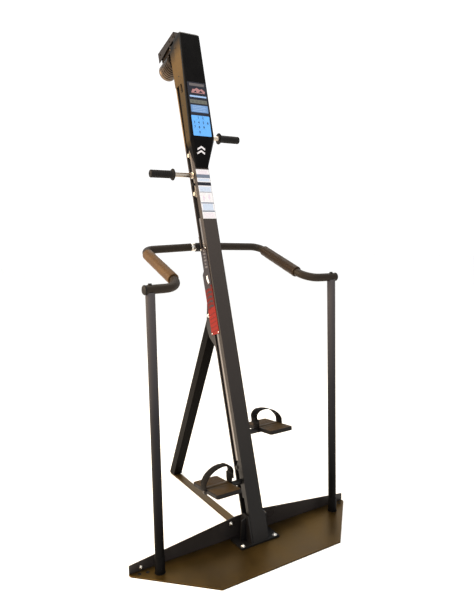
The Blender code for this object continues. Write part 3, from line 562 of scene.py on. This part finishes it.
def make_studio():
    scene = bpy.context.scene
    scene.view_settings.view_transform = "Standard"
    world = bpy.data.worlds.new("studio")
    world.use_nodes = True
    backdrop = world.node_tree.nodes["Background"].inputs
    backdrop["Color"].default_value = (1.0, 1.0, 1.0, 1.0)
    backdrop["Strength"].default_value = BACKDROP_STRENGTH
    scene.world = world
    make_light("warm_side", (-3.6, 1.6, 2.6), (0, 0.3, 1.2), (3.0, 3.4), 420, (1.0, 0.74, 0.46))
    make_light("key", (-2.2, -3.4, 3.8), (0, 0.2, 1.1), (2.4, 2.4), 90, (1.0, 0.97, 0.93))
    make_light("top", (0.6, 0.8, 4.6), (0, 0.2, 0), (3.0, 3.0), 90, (1.0, 0.9, 0.76))
    bm = bmesh.new()
    reach = 30.0
    corners = ((-reach, -reach), (reach, -reach), (reach, reach), (-reach, reach))
    bm.faces.new([bm.verts.new((x, y, 0.0)) for x, y in corners])
    mesh = bpy.data.meshes.new("studio_floor")
    bm.to_mesh(mesh)
    bm.free()
    floor = bpy.data.objects.new("studio_floor", mesh)
    finish = Finish("floor_paper", (0.9, 0.9, 0.89), 0.9)
    finish.vary(3, (0.88, 0.88, 0.875), 0.4)
    mesh.materials.append(finish.material)
    link(floor)


# -------- fasteners
def add_washer(bm, matrix, radius, wide, rise):
    ring = [(0.6, 0.0), (wide, 0.0), (wide, 0.7), (wide - 0.07, 1.0), (0.6, 1.0)]
    add_lathe(bm, [(radius * out, rise * up) for out, up in ring], matrix, 32)


def add_socket_screw(bm, matrix, radius):
    """Button-head screw with a hexagon socket, on a washer."""
    rise = 0.0012
    add_washer(bm, matrix, radius, 1.35, rise)
    head = [(1.0, 0.1), (0.93, 0.3), (0.74, 0.47), (0.54, 0.53), (0.4, 0.53), (0.38, 0.5),
            (0.38, 0.16), (0.0, 0.12)]
    profile = [(0.0, rise - 0.0004), (radius * 0.98, rise - 0.0004)]
    profile += [(radius * out, rise + radius * up) for out, up in head]
    add_lathe(bm, profile, matrix, 24, hexed=(6, 7, 8))


def add_hex_bolt(bm, matrix, radius, tip=True):
    """Hexagon head or nut with a chamfer, on a washer, with the thread's end showing."""
    rise = 0.0014
    add_washer(bm, matrix, radius, 1.4, rise)
    head = [(1.0, 0.06), (1.0, 0.58), (0.9, 0.72), (0.55, 0.72)]
    end = [(0.52, 0.7), (0.0, 0.7)]
    if tip:
        end = [(0.52, 0.95), (0.44, 1.05), (0.0, 1.05)]
    profile = [(0.0, rise - 0.0002), (radius * 0.97, rise - 0.0002)]
    profile += [(radius * out, rise + radius * up) for out, up in head + end]
    add_lathe(bm, profile, matrix, 24, hexed=(2, 3))


def fasteners(name, places, radius, finish=ZINC, slot="zinc_fastener", kind="screw", **settings):
    """One piece with a screw, bolt or nut at each place."""
    bm = bmesh.new()
    for matrix in places:
        if kind == "screw":
            add_socket_screw(bm, matrix, radius)
        else:
            add_hex_bolt(bm, matrix, radius, tip=kind == "nut")
    piece(name, bm, finish, slot, **settings)


# -------- base and frame
def weld_bead(name, path, radius, finish):
    """Rippled bead of weld along a closed path."""
    bm = bmesh.new()
    count = len(path)
    rings = []
    for i, point in enumerate(path):
        point = Vector(point)
        ahead = (Vector(path[(i + 1) % count]) - Vector(path[i - 1])).normalized()
        side = ahead.cross(Vector((0, 0, 1))).normalized()
        other = side.cross(ahead)
        size = radius * (1.0 + 0.16 * sin(i * 2.1))
        rings.append([bm.verts.new(point + size * (cos(a) * side + sin(a) * other))
                      for a in around(8)])
    for i in range(count):
        join_rings(bm, rings[i], rings[(i + 1) % count])
    piece(name, bm, finish, "black_paint", crease=80)


def make_base():
    dress("base_plate floor_bar", BRONZE)
    dress("rear_wall", WALL_BLACK)
    dress("mast_foot_bracket leg_bracket console_back rail_bracket", BLACK)
    dress("rear_leg", LEG_BLACK)
    dress("hood_channel", HOOD_BLACK)
    up = (0, 0, 1)
    for side, label in SIDES:
        place = pointing((side * 0.083, -0.019, BRACKET_TOP), up)
        fasteners(f"foot_bolts_{label}", [place], 0.0085, stands_for=[f"{label}_foot_bolt"])
    for name, x, y, z, out, radius, kind in (
            ("tip_screws", 0.515, WALL_FRONT_Y, 0.02, -1, 0.0055, "screw"),
            ("screws", 0.087, WALL_FRONT_Y, 0.0755, -1, 0.0075, "screw"),
            ("nuts", 0.087, WALL_BACK_Y, 0.0755, 1, 0.0065, "nut")):
        places = [pointing((side * x, y, z), (0, out, 0)) for side, _ in SIDES]
        fasteners(f"rear_wall_{name}", places, radius, kind=kind)
    for side, label in SIDES:
        bm = bmesh.new()
        for x, y in ((0.497, 0.046), (0.53, 0.052)):
            plug = [(0.0075, 0.0), (0.0075, 0.0006), (0.0062, 0.0011), (0.0045, 0.0004), (0.0, 0.0003)]
            add_lathe(bm, plug, pointing((side * x, y, PLATE_TOP), up), 28)
        piece(f"{label}_plate_plugs", bm, RUBBER, "black_rubber")


def make_foot_weld():
    """Bead round the mast's foot on its bracket, with the points of a rectangle."""
    middle = BRACKET_TOP * tan(LEAN)
    half_x = MAST_HALF + 0.0008
    half_y = -MAST_FRONT / cos(LEAN) + 0.0008
    corners = [(half_x, half_y), (-half_x, half_y), (-half_x, -half_y), (half_x, -half_y)]
    path = []
    for i, (x, y) in enumerate(corners):
        next_x, next_y = corners[(i + 1) % 4]
        for step in range(24):
            part = step / 24
            path.append((x + (next_x - x) * part, middle + y + (next_y - y) * part, BRACKET_TOP))
    weld_bead("mast_foot_weld", path, 0.002, BLACK)


def make_posts():
    for side, label in SIDES:
        x = side * POST_X
        low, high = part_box(f"{label}_post_socket")
        tall = high.z - low.z
        socket = [(POST_R + out, z) for out, z in (
            (0.0002, 0.0), (0.0014, 0.0), (0.0014, tall - 0.001), (0.0008, tall), (0.0002, tall))]
        turned(f"{label}_post_sleeve", socket + socket[:1], Matrix.Translation((x, POST_Y, low.z)), 48,
               POST_BLACK, "black_paint", stands_for=[f"{label}_post_socket"])
        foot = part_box(f"{label}_post")[0].z
        top = RAIL_Z - RAIL_R * 0.6
        tube = [(0.0, foot), (POST_R, foot), (POST_R, top), (0.0, top)]
        turned(f"{label}_side_post", tube, Matrix.Translation((x, POST_Y, 0)), 48, POST_BLACK,
               "black_paint", stands_for=[f"{label}_post"])
        reach = POST_R + 0.002
        circle = [(x + reach * cos(a), POST_Y + reach * sin(a), PLATE_TOP + 0.001)
                  for a in around(60)]
        weld_bead(f"{label}_post_weld", circle, 0.0016, POST_BLACK)


def make_foam_sleeve(side, label, start, run):
    """Padded sleeve with a slightly uneven skin, on the rail's straight run to the back."""
    low = start + run * ((FOAM_Y[0] - start.y) / run.y)
    high = start + run * ((FOAM_Y[1] - start.y) / run.y)
    length = (high - low).length
    edge = [(RAIL_R, 0.0), (FOAM_R - 0.0022, 0.0), (FOAM_R - 0.0006, 0.0012), (FOAM_R, 0.0032)]
    skin = []
    stations = 40
    for i in range(1, stations):
        swell = 0.00025 * sin(i * 1.7) + 0.00018 * sin(i * 0.61 + side)
        skin.append((FOAM_R + swell, 0.0032 + (length - 0.0064) * i / stations))
    profile = edge + skin + [(radius, length - z) for radius, z in reversed(edge)]
    sleeve = turned(f"{label}_foam_sleeve", profile + profile[:1], pointing(low, run), 48, FOAMS[label],
                    "black_foam", stands_for=[f"{label}_rail_foam"])


def make_rails():
    for side, label in SIDES:
        corners = [Vector((side * x, y, z)) for x, y, z in RAIL_CORNERS]
        front, bend = corners[:2]
        bm = bmesh.new()
        add_tube(bm, bent_path(corners, RAIL_BENDS), RAIL_R, 40)
        piece(f"{label}_rail_tube", bm, RAIL_BLACK, "black_paint", stands_for=[f"{label}_hand_rail"])
        make_foam_sleeve(side, label, bend, corners[2] - bend)
        along = (bend - front).normalized()
        cap = [(0.0, -0.004), (RAIL_R * 0.9, -0.004), (RAIL_R + 0.0012, 0.0), (RAIL_R + 0.0012, 0.0028),
               (RAIL_R - 0.0008, 0.0052), (RAIL_R * 0.55, 0.0068), (0.0, 0.0073)]
        turned(f"{label}_rail_plug", cap, pointing(front, -along), 40, RUBBER, "black_rubber",
               stands_for=[f"{label}_rail_end_cap"])
        on_rail = front + along * ((side * POST_X - front.x) / along.x)
        top = on_rail + Vector((0, 0, RAIL_R - 0.0006))
        fasteners(f"{label}_rail_top_bolt", [pointing(top, (0, 0, 1))], 0.0065, BLACK, "black_paint",
                  kind="bolt")
        inward = (corners[3] - corners[2]).normalized()
        ring = [(RAIL_R + out, z) for out, z in (
            (0.0002, -0.011), (0.0014, -0.011), (0.002, -0.0098), (0.002, 0.0098), (0.0014, 0.011),
            (0.0002, 0.011))]
        turned(f"{label}_rail_collar", ring + ring[:1], pointing(corners[3] - inward * 0.012, inward), 44,
               ZINC, "zinc_fastener")


def facing_out(side, x, s, y=0.0):
    """Place beside the mast that faces outwards."""
    return pointing((side * x, y, s), (side, 0, 0), MAST)


def beside_mast(x, *spots):
    """Places that face outwards on both sides of the mast, at x and at each (y, s)."""
    return [facing_out(side, x, s, y) for y, s in spots for side, _ in SIDES]


def make_mast_trim():
    dress("mast", MAST_BLACK)
    dress("left_track_cover right_track_cover", RED)
    dress("left_head_cover right_head_cover console_housing", SHELL)
    dress("shaft_bearing idler_axle drive_shaft top_sprocket idler_sprocket", STEEL)
    dress("drive_chain", DARK_STEEL)
    dress("brake_disc", ALLOY)
    dress("console_board", BOARD)
    back = [pointing((side * 0.022, MAST_BACK + 0.008, s), (0, 1, 0), MAST)
            for s in (0.885, 1.095) for side, _ in SIDES]
    fasteners("leg_plate_bolts", back, 0.0055, kind="bolt")
    fasteners("leg_cheek_bolts", beside_mast(CHEEK_X, (0.064, 1.03)), 0.0075, kind="nut")
    hood = beside_mast(HOOD_X, (-0.02, 2.421), (0.022, 2.421), (0.14, 2.421))
    fasteners("hood_screws", hood, 0.0036, HOOD_BLACK, "black_paint")
    cover = beside_mast(COVER_X, (-0.026, 2.184), (0.028, 2.19), (-0.026, 2.38), (0.028, 2.38))
    fasteners("head_cover_screws", cover, 0.003, ALLOY, "drum_alloy")
    track = beside_mast(COVER_X, (-0.017, 0.941), (0.044, 0.941), (-0.017, 1.343), (0.028, 1.343))
    fasteners("track_cover_screws", track, 0.0028)


def film(name, outlines, matrix, thickness, finish, slot="keypad_film", lift=0.0, **settings):
    """Thin printed or moulded shapes lying on a face."""
    bm = bmesh.new()
    for outline in outlines:
        add_slab(bm, outline, matrix, lift, lift + thickness)
    piece(name, bm, finish, slot, **settings)


def band(s_low, s_high, half, x=0.0):
    return rounded(half, (s_high - s_low) / 2, 0.0008, x, (s_low + s_high) / 2)


def make_mast_label():
    """Instruction label on the mast's front, with plain bars where a real one has words."""
    front = face_frame((0, MAST_FRONT, 0), (0, 0, 1), (0, -1, 0), MAST)
    film("mast_label", [band(1.479, 1.7245, 0.0352)], front, 0.0003, WHITE, lift=0.0001)
    ink = 0.0005
    for name, finish, bands in (
            ("grey_bar", BAND, [(1.681, 1.699, 0.0352)]),
            ("dark_bar", NAVY, [(1.643, 1.66, 0.0352)]),
            ("pale_panels", PALE, [(1.613, 1.638, 0.031), (1.52, 1.552, 0.028), (1.664, 1.678, 0.031)]),
            ("rules", BAND, [(1.5125, 1.5185, 0.0335), (1.5535, 1.559, 0.0335), (1.6085, 1.6115, 0.033)])):
        film(f"label_{name}", [band(*edges) for edges in bands], front, ink, finish)
    bars = []
    for row in range(4):
        low = 1.4845 + row * 0.0065
        bars.append(band(low, low + 0.002, 0.029 - 0.004 * (row % 2), -0.002 * (row % 2)))
    for row in range(3):
        low = 1.7 + row * 0.007
        bars.append(band(low, low + 0.0025, 0.028 - 0.003 * (row % 2)))
    film("label_text_bars", bars, front, ink, LILAC)
    arrows = []
    middle = 1.583
    for x, turn in ((-0.015, 1), (0.015, -1)):
        base = middle - turn * 0.004
        arrows.append([(x - 0.007, base), (x + 0.007, base), (x, middle + turn * 0.012)][::turn])
        stem = sorted((middle - turn * 0.0155, middle - turn * 0.0045))
        arrows.append(band(stem[0], stem[1], 0.003, x))
    film("label_arrows", arrows, front, ink, LILAC)


def make_track_decals():
    """Generic shapes on the red side covers."""
    for side, label in SIDES:
        face = face_frame((side * COVER_X, 0, 0), (0, 0, 1), (side, 0, 0), MAST)

        def shapes(name, outlines, finish, lift=0.0):
            """The face's x runs to the back on the right side and to the front on the left."""
            turned = [[(side * y, s) for y, s in outline][::side] for outline in outlines]
            film(f"{label}_decal_{name}", turned, face, 0.0003, finish, "cover_red", lift=lift)

        deep = [(-0.0215, 1.066), (0.049, 1.05), (0.049, 1.15), (-0.0215, 1.166)]
        shapes("deep_field", [deep], RED_DEEP)
        shapes("field", [[(-0.0215, 1.1665), (0.049, 1.1505), (0.049, 1.2245), (0.0335, 1.2395),
                          (0.0335, 1.3495), (-0.0215, 1.3495)]], CHAR)
        slashes = []
        for row in range(5):
            low = 1.06 + row * 0.022
            slashes.append([(-0.01, low), (0.016, low + 0.006), (0.04, low - 0.002), (0.036, low + 0.007),
                            (0.012, low + 0.014), (-0.014, low + 0.009)])
        shapes("slashes", slashes, CHAR, 0.0003)
        stripes = [[(-0.014, low), (0.044, low - 0.008), (0.044, low - 0.004), (-0.014, low + 0.004)]
                   for low in (0.952, 0.972, 0.992, 1.012, 1.032)]
        shapes("stripes", stripes, RED_DEEP)
        shapes("mark", [[(-0.004, 1.176), (0.008, 1.174), (0.017, 1.196), (0.016, 1.212), (0.004, 1.214),
                         (0.001, 1.198)]], WHITE, 0.0003)
        blots = []
        for row in range(6):
            low = 1.247 + row * 0.016
            shift = 0.006 * (row % 2)
            blots.append([(-0.01 + shift, low), (0.006 + shift, low + 0.002), (0.018 - shift, low + 0.008),
                          (0.004 + shift, low + 0.011), (-0.012 + shift, low + 0.008)])
        shapes("blots", blots, GREY, 0.0003)


# -------- console
def sloped_face(low, high):
    """Matrix on a face of the console that rises from one (s, y) to another."""
    rise = Vector((0, high[1] - low[1], high[0] - low[0])).normalized()
    return face_frame((0, low[1], low[0]), rise, (0, -rise.z, rise.y), MAST)


LONG_FACE = sloped_face(FACE_LOW, FACE_HIGH)
TAPER_FACE = sloped_face(TAPER_LOW, TAPER_HIGH)


def on_face(s):
    """Distance up the long face at a distance s along the mast."""
    slope = atan2(FACE_LOW[1] - FACE_HIGH[1], FACE_HIGH[0] - FACE_LOW[0])
    return (s - FACE_LOW[0]) / cos(slope)


def panel(s_low, s_high, x_low, x_high, radius=0.0015):
    """Rounded rectangle on the long face between two distances s along the mast."""
    low, high = on_face(s_low), on_face(s_high)
    return rounded((x_high - x_low) / 2, (high - low) / 2, radius, (x_low + x_high) / 2, (low + high) / 2)


def add_numeral(bm, text, matrix, size, depth):
    """Raised numeral from the built-in font, centred on the matrix."""
    curve = bpy.data.curves.new("numeral", "FONT")
    curve.body = text
    curve.size = size
    curve.extrude = depth
    curve.offset = size * 0.016
    curve.resolution_u = 6
    curve.align_x = "CENTER"
    curve.align_y = "CENTER"
    carrier = bpy.data.objects.new("numeral", curve)
    link(carrier)
    bpy.context.view_layer.update()
    mesh = bpy.data.meshes.new_from_object(carrier.evaluated_get(bpy.context.evaluated_depsgraph_get()))
    mesh.transform(matrix)
    bm.from_mesh(mesh)
    bpy.data.objects.remove(carrier)
    bpy.data.curves.remove(curve)
    bpy.data.meshes.remove(mesh)


SKIN = 0.0013                    # top of the console's film above the housing's face
KEY_X = (-0.037, -0.0135, 0.011, 0.0345)
KEY_ROWS = ((1.957, " 12"), (1.933, "3456"), (1.9095, "789"), (1.8855, " 0"))


def print_on(name, outlines, thickness, finish, lift=SKIN, **settings):
    """Shapes printed or moulded on the console's film."""
    film(name, outlines, LONG_FACE, thickness, finish, lift=lift, **settings)


def make_console_film():
    """The film with its status bar, display, program panel and keypad."""
    print_on("console_film", [panel(1.868, 2.134, -0.05, 0.05, 0.004)], 0.001, NAVY, lift=0.0003,
             bevel=0.0002, stands_for=["console_overlay"])
    print_on("console_status_bar", [panel(2.115, 2.128, -0.04, 0.04)], 0.0003, GREY)
    print_on("console_light_band", [panel(2.059, 2.067, -0.044, 0.045)], 0.0003, SKY_PALE)
    print_on("console_display", [panel(2.028, 2.046, -0.046, 0.045, 0.002)], 0.0008, LCD, bevel=0.0003)
    print_on("console_program_panel", [panel(1.984, 2.02, -0.045, 0.046, 0.002)], 0.0003, SKY_DEEP)
    print_on("console_keypad", [panel(1.868, 1.968, -0.049, 0.047, 0.003)], 0.0004, SKY)
    strokes = [left + step for left in (-0.036, -0.015, 0.006, 0.027) for step in (0.0, 0.006)]
    segments = [panel(2.032, 2.042, x, x + 0.0014, 0.0004) for x in strokes]
    print_on("display_segments", segments, 0.0002, LCD_INK, lift=SKIN + 0.0008)
    rules = [panel(s, s + 0.0022, -0.038 + 0.004 * (i % 2), 0.038 - 0.006 * (i % 2), 0.0005)
             for i, s in enumerate((1.9895, 1.9975, 2.0055, 2.013))]
    print_on("program_rules", rules, 0.0002, SKY_PALE, lift=SKIN + 0.0003)


def make_console_emblem():
    """A plain row of hills above the display."""
    peaks = [(-0.034, 2.08), (0.038, 2.08), (0.041, 2.09), (0.026, 2.103), (0.012, 2.098),
             (-0.002, 2.106), (-0.016, 2.098), (-0.024, 2.1)]
    print_on("console_emblem", [[(x, on_face(s)) for x, s in peaks]], 0.0004, ROSE)
    foot = on_face(2.0835)
    cuts = [[(-0.02, foot), (-0.004, foot), (-0.01, on_face(2.093))],
            [(0.006, foot), (0.03, foot), (0.018, on_face(2.094))]]
    print_on("console_emblem_cuts", cuts, 0.0002, NAVY, lift=SKIN + 0.0004)


def make_keypad():
    """Key caps with a numeral on each."""
    keys = []
    digits = bmesh.new()
    for s, row in KEY_ROWS:
        for text, x in zip(row, KEY_X):
            if text == " ":
                continue
            keys.append(rounded(0.0098, 0.0095, 0.003, x, on_face(s)))
            place = LONG_FACE @ Matrix.Translation((x, on_face(s), SKIN + 0.0012))
            add_numeral(digits, text, place, 0.0175, 0.00015)
    print_on("console_keys", keys, 0.0007, SKY, lift=SKIN + 0.0004, bevel=0.0004)
    piece("key_numerals", digits, INK, "keypad_film")


def make_chevrons():
    """Two plain chevrons on the console's taper."""
    left, middle, right = -0.029, -0.009, 0.011
    chevrons = []
    for low in (0.06, 0.079):
        chevrons.append([(left, low), (middle, low + 0.012), (right, low),
                         (right, low + 0.009), (middle, low + 0.021), (left, low + 0.009)])
    film("console_mark", chevrons, TAPER_FACE, 0.0004, WHITE, lift=0.0001)


def make_console():
    make_console_film()
    make_console_emblem()
    make_keypad()
    make_chevrons()
    screws = []
    for x, s in ((0.0608, 1.905), (0.0578, 2.04), (0.0545, 2.19), (0.0525, 2.34)):
        screws += beside_mast(x, (MAST_FRONT - 0.013, s))
    fasteners("console_side_screws", screws, 0.003, BLACK, "black_paint")


# -------- brake unit
def make_load_unit():
    """Finned alloy drum with a bolted end plate."""
    profile = [(0.0095, 0.0), (0.03, 0.0), (0.03, 0.012), (0.042, 0.014), (0.0445, 0.016)]
    for fin in range(6):
        low = 0.018 + fin * 0.015
        profile += [(0.046, low), (0.046, low + 0.009), (0.0425, low + 0.0096), (0.0425, low + 0.0144)]
    profile += [(0.0455, 0.1085), (0.046, 0.1095), (0.046, 0.1245), (0.045, 0.1265), (0.04, 0.133),
                (0.03, 0.1345), (0.012, 0.135), (0.0095, 0.1345)]
    base = MAST_BACK + 0.013
    axis = pointing((0, base, SHAFT_S), (0, 1, 0), MAST)
    turned("load_unit_drum", profile + profile[:1], axis, 72, DRUM_ALLOY, "drum_alloy", bevel=0.0004,
           crease=30, stands_for=["load_unit_housing"])
    end = []
    for angle in around(6):
        x, s = 0.0265 * cos(angle + 0.3), 0.0265 * sin(angle + 0.3)
        end.append(pointing((x, base + 0.1346, SHAFT_S + s), (0, 1, 0), MAST))
    fasteners("load_unit_screws", end, 0.0032)


# -------- climbing sides
def make_grip(side, label, hand):
    """Flanged rubber grip with moulded finger rings."""
    body = f"{label}_handle"
    length = GRIP_OUT - GRIP_IN
    profile = [(ROD_R, 0.0), (0.0255, 0.0), (0.0278, 0.0015), (0.028, 0.0035), (0.0272, 0.0058),
               (0.0235, 0.0085), (0.0205, 0.011), (0.019, 0.015)]
    for ring in range(9):
        low = 0.019 + ring * 0.0094
        profile += [(GRIP_R, low), (GRIP_R, low + 0.0052), (GRIP_R - 0.0012, low + 0.0066),
                    (GRIP_R - 0.0012, low + 0.008)]
    profile += [(GRIP_R, length - 0.012), (GRIP_R, length - 0.005), (GRIP_R - 0.0015, length - 0.0015),
                (GRIP_R - 0.0045, length), (0.006, length), (0.005, length - 0.003),
                (0.0, length - 0.0032)]
    turned(f"{label}_ribbed_grip", profile, facing_out(side, GRIP_IN, hand), 48, RUBBER, "black_rubber",
           body=body, crease=50, stands_for=[f"{label}_handle_grip"])
    bm = bmesh.new()
    rod = [(0.0, 0.0), (ROD_R - 0.0005, 0.0), (ROD_R, 0.0008), (ROD_R, 0.217), (0.0, 0.217)]
    add_lathe(bm, rod, facing_out(side, 0.0322, hand), 40)
    collar = [(0.0, 0.0), (0.0168, 0.0), (0.0172, 0.0006), (0.0172, 0.0022), (0.016, 0.003), (0.0, 0.003)]
    add_lathe(bm, collar, facing_out(side, 0.039, hand), 40)
    piece(f"{label}_grip_rod", bm, STEEL, "plated_steel", body, stands_for=[f"{label}_handle_rod"])


def make_knob(side, label, hand):
    """Knurled pull knob of the height lock."""
    bm = bmesh.new()
    profile = [(0.0, 0.0), (0.0026, 0.0), (0.0026, 0.0115), (0.006, 0.0115), (0.0075, 0.013),
               (0.0075, 0.02), (0.0062, 0.0215), (0.0, 0.0217)]
    place = facing_out(side, 0.0232, hand + LOCK_DROP)
    add_lathe(bm, profile, place, 36, knurled=(4, 5))
    piece(f"{label}_pull_knob", bm, RUBBER, "black_rubber", f"{label}_lock",
          stands_for=[f"{label}_lock_pin"])


def make_pedal(side, label, foot):
    """Ribbed tread plates either side of the axle's hump, with the axle nut at the outer edge."""
    body = f"{label}_pedal_body"
    place = MAST @ Matrix.Translation((0, 0, foot)) @ Matrix.Rotation(LEAN - PEDAL_TILT, 4, "X")
    dress(f"{label}_pedal", RUBBER)
    middle = side * PEDAL_MIDDLE
    half = PEDAL_HALF_W
    ribs = bmesh.new()
    add_slab(ribs, rounded(half - 0.004, PEDAL_HALF_L - 0.004, 0.009, middle, 0.0, 6), place,
             PEDAL_TOP - 0.0004, PEDAL_TOP + 0.0005)
    for end in (-1, 1):
        for row in range(9):
            y = end * (0.027 + row * 0.0093)
            rib = rounded(half - 0.01, 0.003, 0.0012, middle, y, 2)
            add_slab(ribs, rib, place, PEDAL_TOP - 0.0005, PEDAL_TOP + 0.0013)
    piece(f"{label}_tread_ribs", ribs, TREAD, "black_rubber", body, bevel=0.0005)
    hump = bmesh.new()
    arch = [(0.0125 * cos(pi * k / 12), PEDAL_TOP - 0.0006 + 0.0042 * sin(pi * k / 12))
            for k in range(13)]
    across = place @ Matrix.Translation((middle, 0, 0)) @ Matrix(((0, 0, 1), (1, 0, 0), (0, 1, 0))).to_4x4()
    add_slab(hump, arch, across, -half + 0.006, half - 0.006)
    piece(f"{label}_axle_hump", hump, TREAD, "black_rubber", body, bevel=0.0008)
    nut = [place @ pointing((side * 0.2178, 0, 0), (side, 0, 0))]
    fasteners(f"{label}_axle_nut", nut, 0.0052, DARK_STEEL, kind="nut", body=f"{label}_climber")
    make_strap(side, label, place, body)


def strap_line(side):
    """Centre line of the webbing in the pedal's x and z, from the inner edge over the foot to the outer."""
    inset = 0.00175
    leg = 0.022
    reach = PEDAL_HALF_W + 0.001 + inset
    inner, outer = PEDAL_MIDDLE - reach, PEDAL_MIDDLE + reach
    rise = STRAP_RISE - leg - inset
    points = [(inner, 0.0088), (inner, 0.02)]
    steps = 40
    for i in range(steps + 1):
        angle = pi * (1 - i / steps)
        height = sin(angle) ** 0.8 if 0 < i < steps else 0.0
        x = PEDAL_MIDDLE + reach * cos(angle) - 0.028 * height
        points.append((x, PEDAL_TOP + leg + rise * height))
    points += [(outer, 0.02), (outer, 0.0088)]
    return [Vector((side * x, 0.0, z)) for x, z in points]


def add_webbing(bm, line, half_w, thickness, matrix, sink=0.0):
    """Flat band along a line in the x-z plane, with its length and width as the UV."""
    layer = bm.loops.layers.uv.verify()
    section = ((-1, 0.35), (-0.96, 1.0), (0.96, 1.0), (1, 0.35),
               (1, -0.35), (0.96, -1.0), (-0.96, -1.0), (-1, -0.35))
    rings = []
    lengths = []
    travelled = 0.0
    for i, point in enumerate(line):
        before, after = line[max(i - 1, 0)], line[min(i + 1, len(line) - 1)]
        ahead = (after - before).normalized()
        out = Vector((0, 1, 0)).cross(ahead).normalized()
        if i:
            travelled += (point - line[i - 1]).length
        lengths.append(travelled)
        ring = []
        for across, through in section:
            wave = 0.0002 * sin(travelled * 90 + across * 2)
            offset = out * (through * thickness / 2 + sink + wave)
            ring.append(bm.verts.new(matrix @ (point + Vector((0, across * half_w, 0)) + offset)))
        rings.append(ring)
    count = len(section)
    for i in range(len(rings) - 1):
        for k in range(count):
            m = (k + 1) % count
            face = bm.faces.new((rings[i][k], rings[i][m], rings[i + 1][m], rings[i + 1][k]))
            spots = ((k, i), (m, i), (m, i + 1), (k, i + 1))
            for loop, (column, row) in zip(face.loops, spots):
                loop[layer].uv = ((section[column][0] + 1) * half_w, lengths[row])
    for ring, order in ((rings[0], -1), (rings[-1], 1)):
        bm.faces.new(ring[::order])


def make_stitches(side, label, place, body, line):
    """Rows of thread that close the webbing's doubled end."""
    bm = bmesh.new()
    for start, end in zip(line, line[1:]):
        ahead = (end - start).normalized()
        out = Vector((0, 1, 0)).cross(ahead).normalized() * -side
        for row in (-0.018, -0.009, 0.0, 0.009, 0.018):
            middle = (start + end) / 2 + out * 0.0045 + Vector((0, row, 0))
            stitch = place @ face_frame(middle, ahead, out)
            add_slab(bm, rounded(0.0005, 0.0016, 0.0004, steps=2), stitch, 0.0, 0.0005)
    piece(f"{label}_strap_stitches", bm, THREAD, "strap_webbing", body)


def make_strap(side, label, place, body):
    """Webbing over the foot, doubled back on its inner leg through a slide buckle."""
    line = strap_line(side)
    bm = bmesh.new()
    add_webbing(bm, line, STRAP_HALF_W - 0.0005, 0.003, place)
    piece(f"{label}_webbing_strap", bm, WEBBING, "strap_webbing", body, crease=60,
          stands_for=[f"{label}_foot_strap"])
    bm = bmesh.new()
    add_webbing(bm, line[2:20], STRAP_HALF_W - 0.0015, 0.0026, place, sink=side * -0.0031)
    piece(f"{label}_strap_flap", bm, WEBBING, "strap_webbing", body, crease=60)
    make_stitches(side, label, place, body, line[13:19])
    foot = line[2]
    bm = bmesh.new()
    out = (-side, 0, 0)
    across = place @ face_frame((foot.x - side * 0.0046, 0, foot.z), (0, 0, 1), out)
    for level in (0.0, 0.0085, 0.017):
        add_slab(bm, rounded(STRAP_HALF_W + 0.003, 0.0022, 0.001, 0.0, level), across, 0.0, 0.004)
    for end in (-1, 1):
        bar = rounded(0.0022, 0.01, 0.001, end * (STRAP_HALF_W + 0.001), 0.0085)
        add_slab(bm, bar, across, -0.003, 0.0036)
    piece(f"{label}_strap_buckle", bm, RUBBER, "black_rubber", body, bevel=0.0006)


def make_side(side, label):
    foot = FOOT_S + side * STAGGER
    hand = HAND_S + side * STAGGER
    dress(f"{label}_link_bar", BAR_STEEL)
    dress(f"{label}_handle_carriage", CARRIAGE_STEEL)
    dress(f"{label}_foot_carriage", BLACK)
    dress(f"{label}_lower_hand_roller {label}_upper_hand_roller", NYLON)
    dress(f"{label}_foot_roller", NYLON_BLACK)
    make_grip(side, label, hand)
    make_knob(side, label, hand)
    make_pedal(side, label, foot)


make_camera()
make_studio()
make_base()
make_foot_weld()
make_posts()
make_rails()
make_mast_trim()
make_mast_label()
make_track_decals()
make_console()
make_load_unit()
for side, label in SIDES:
    make_side(side, label)
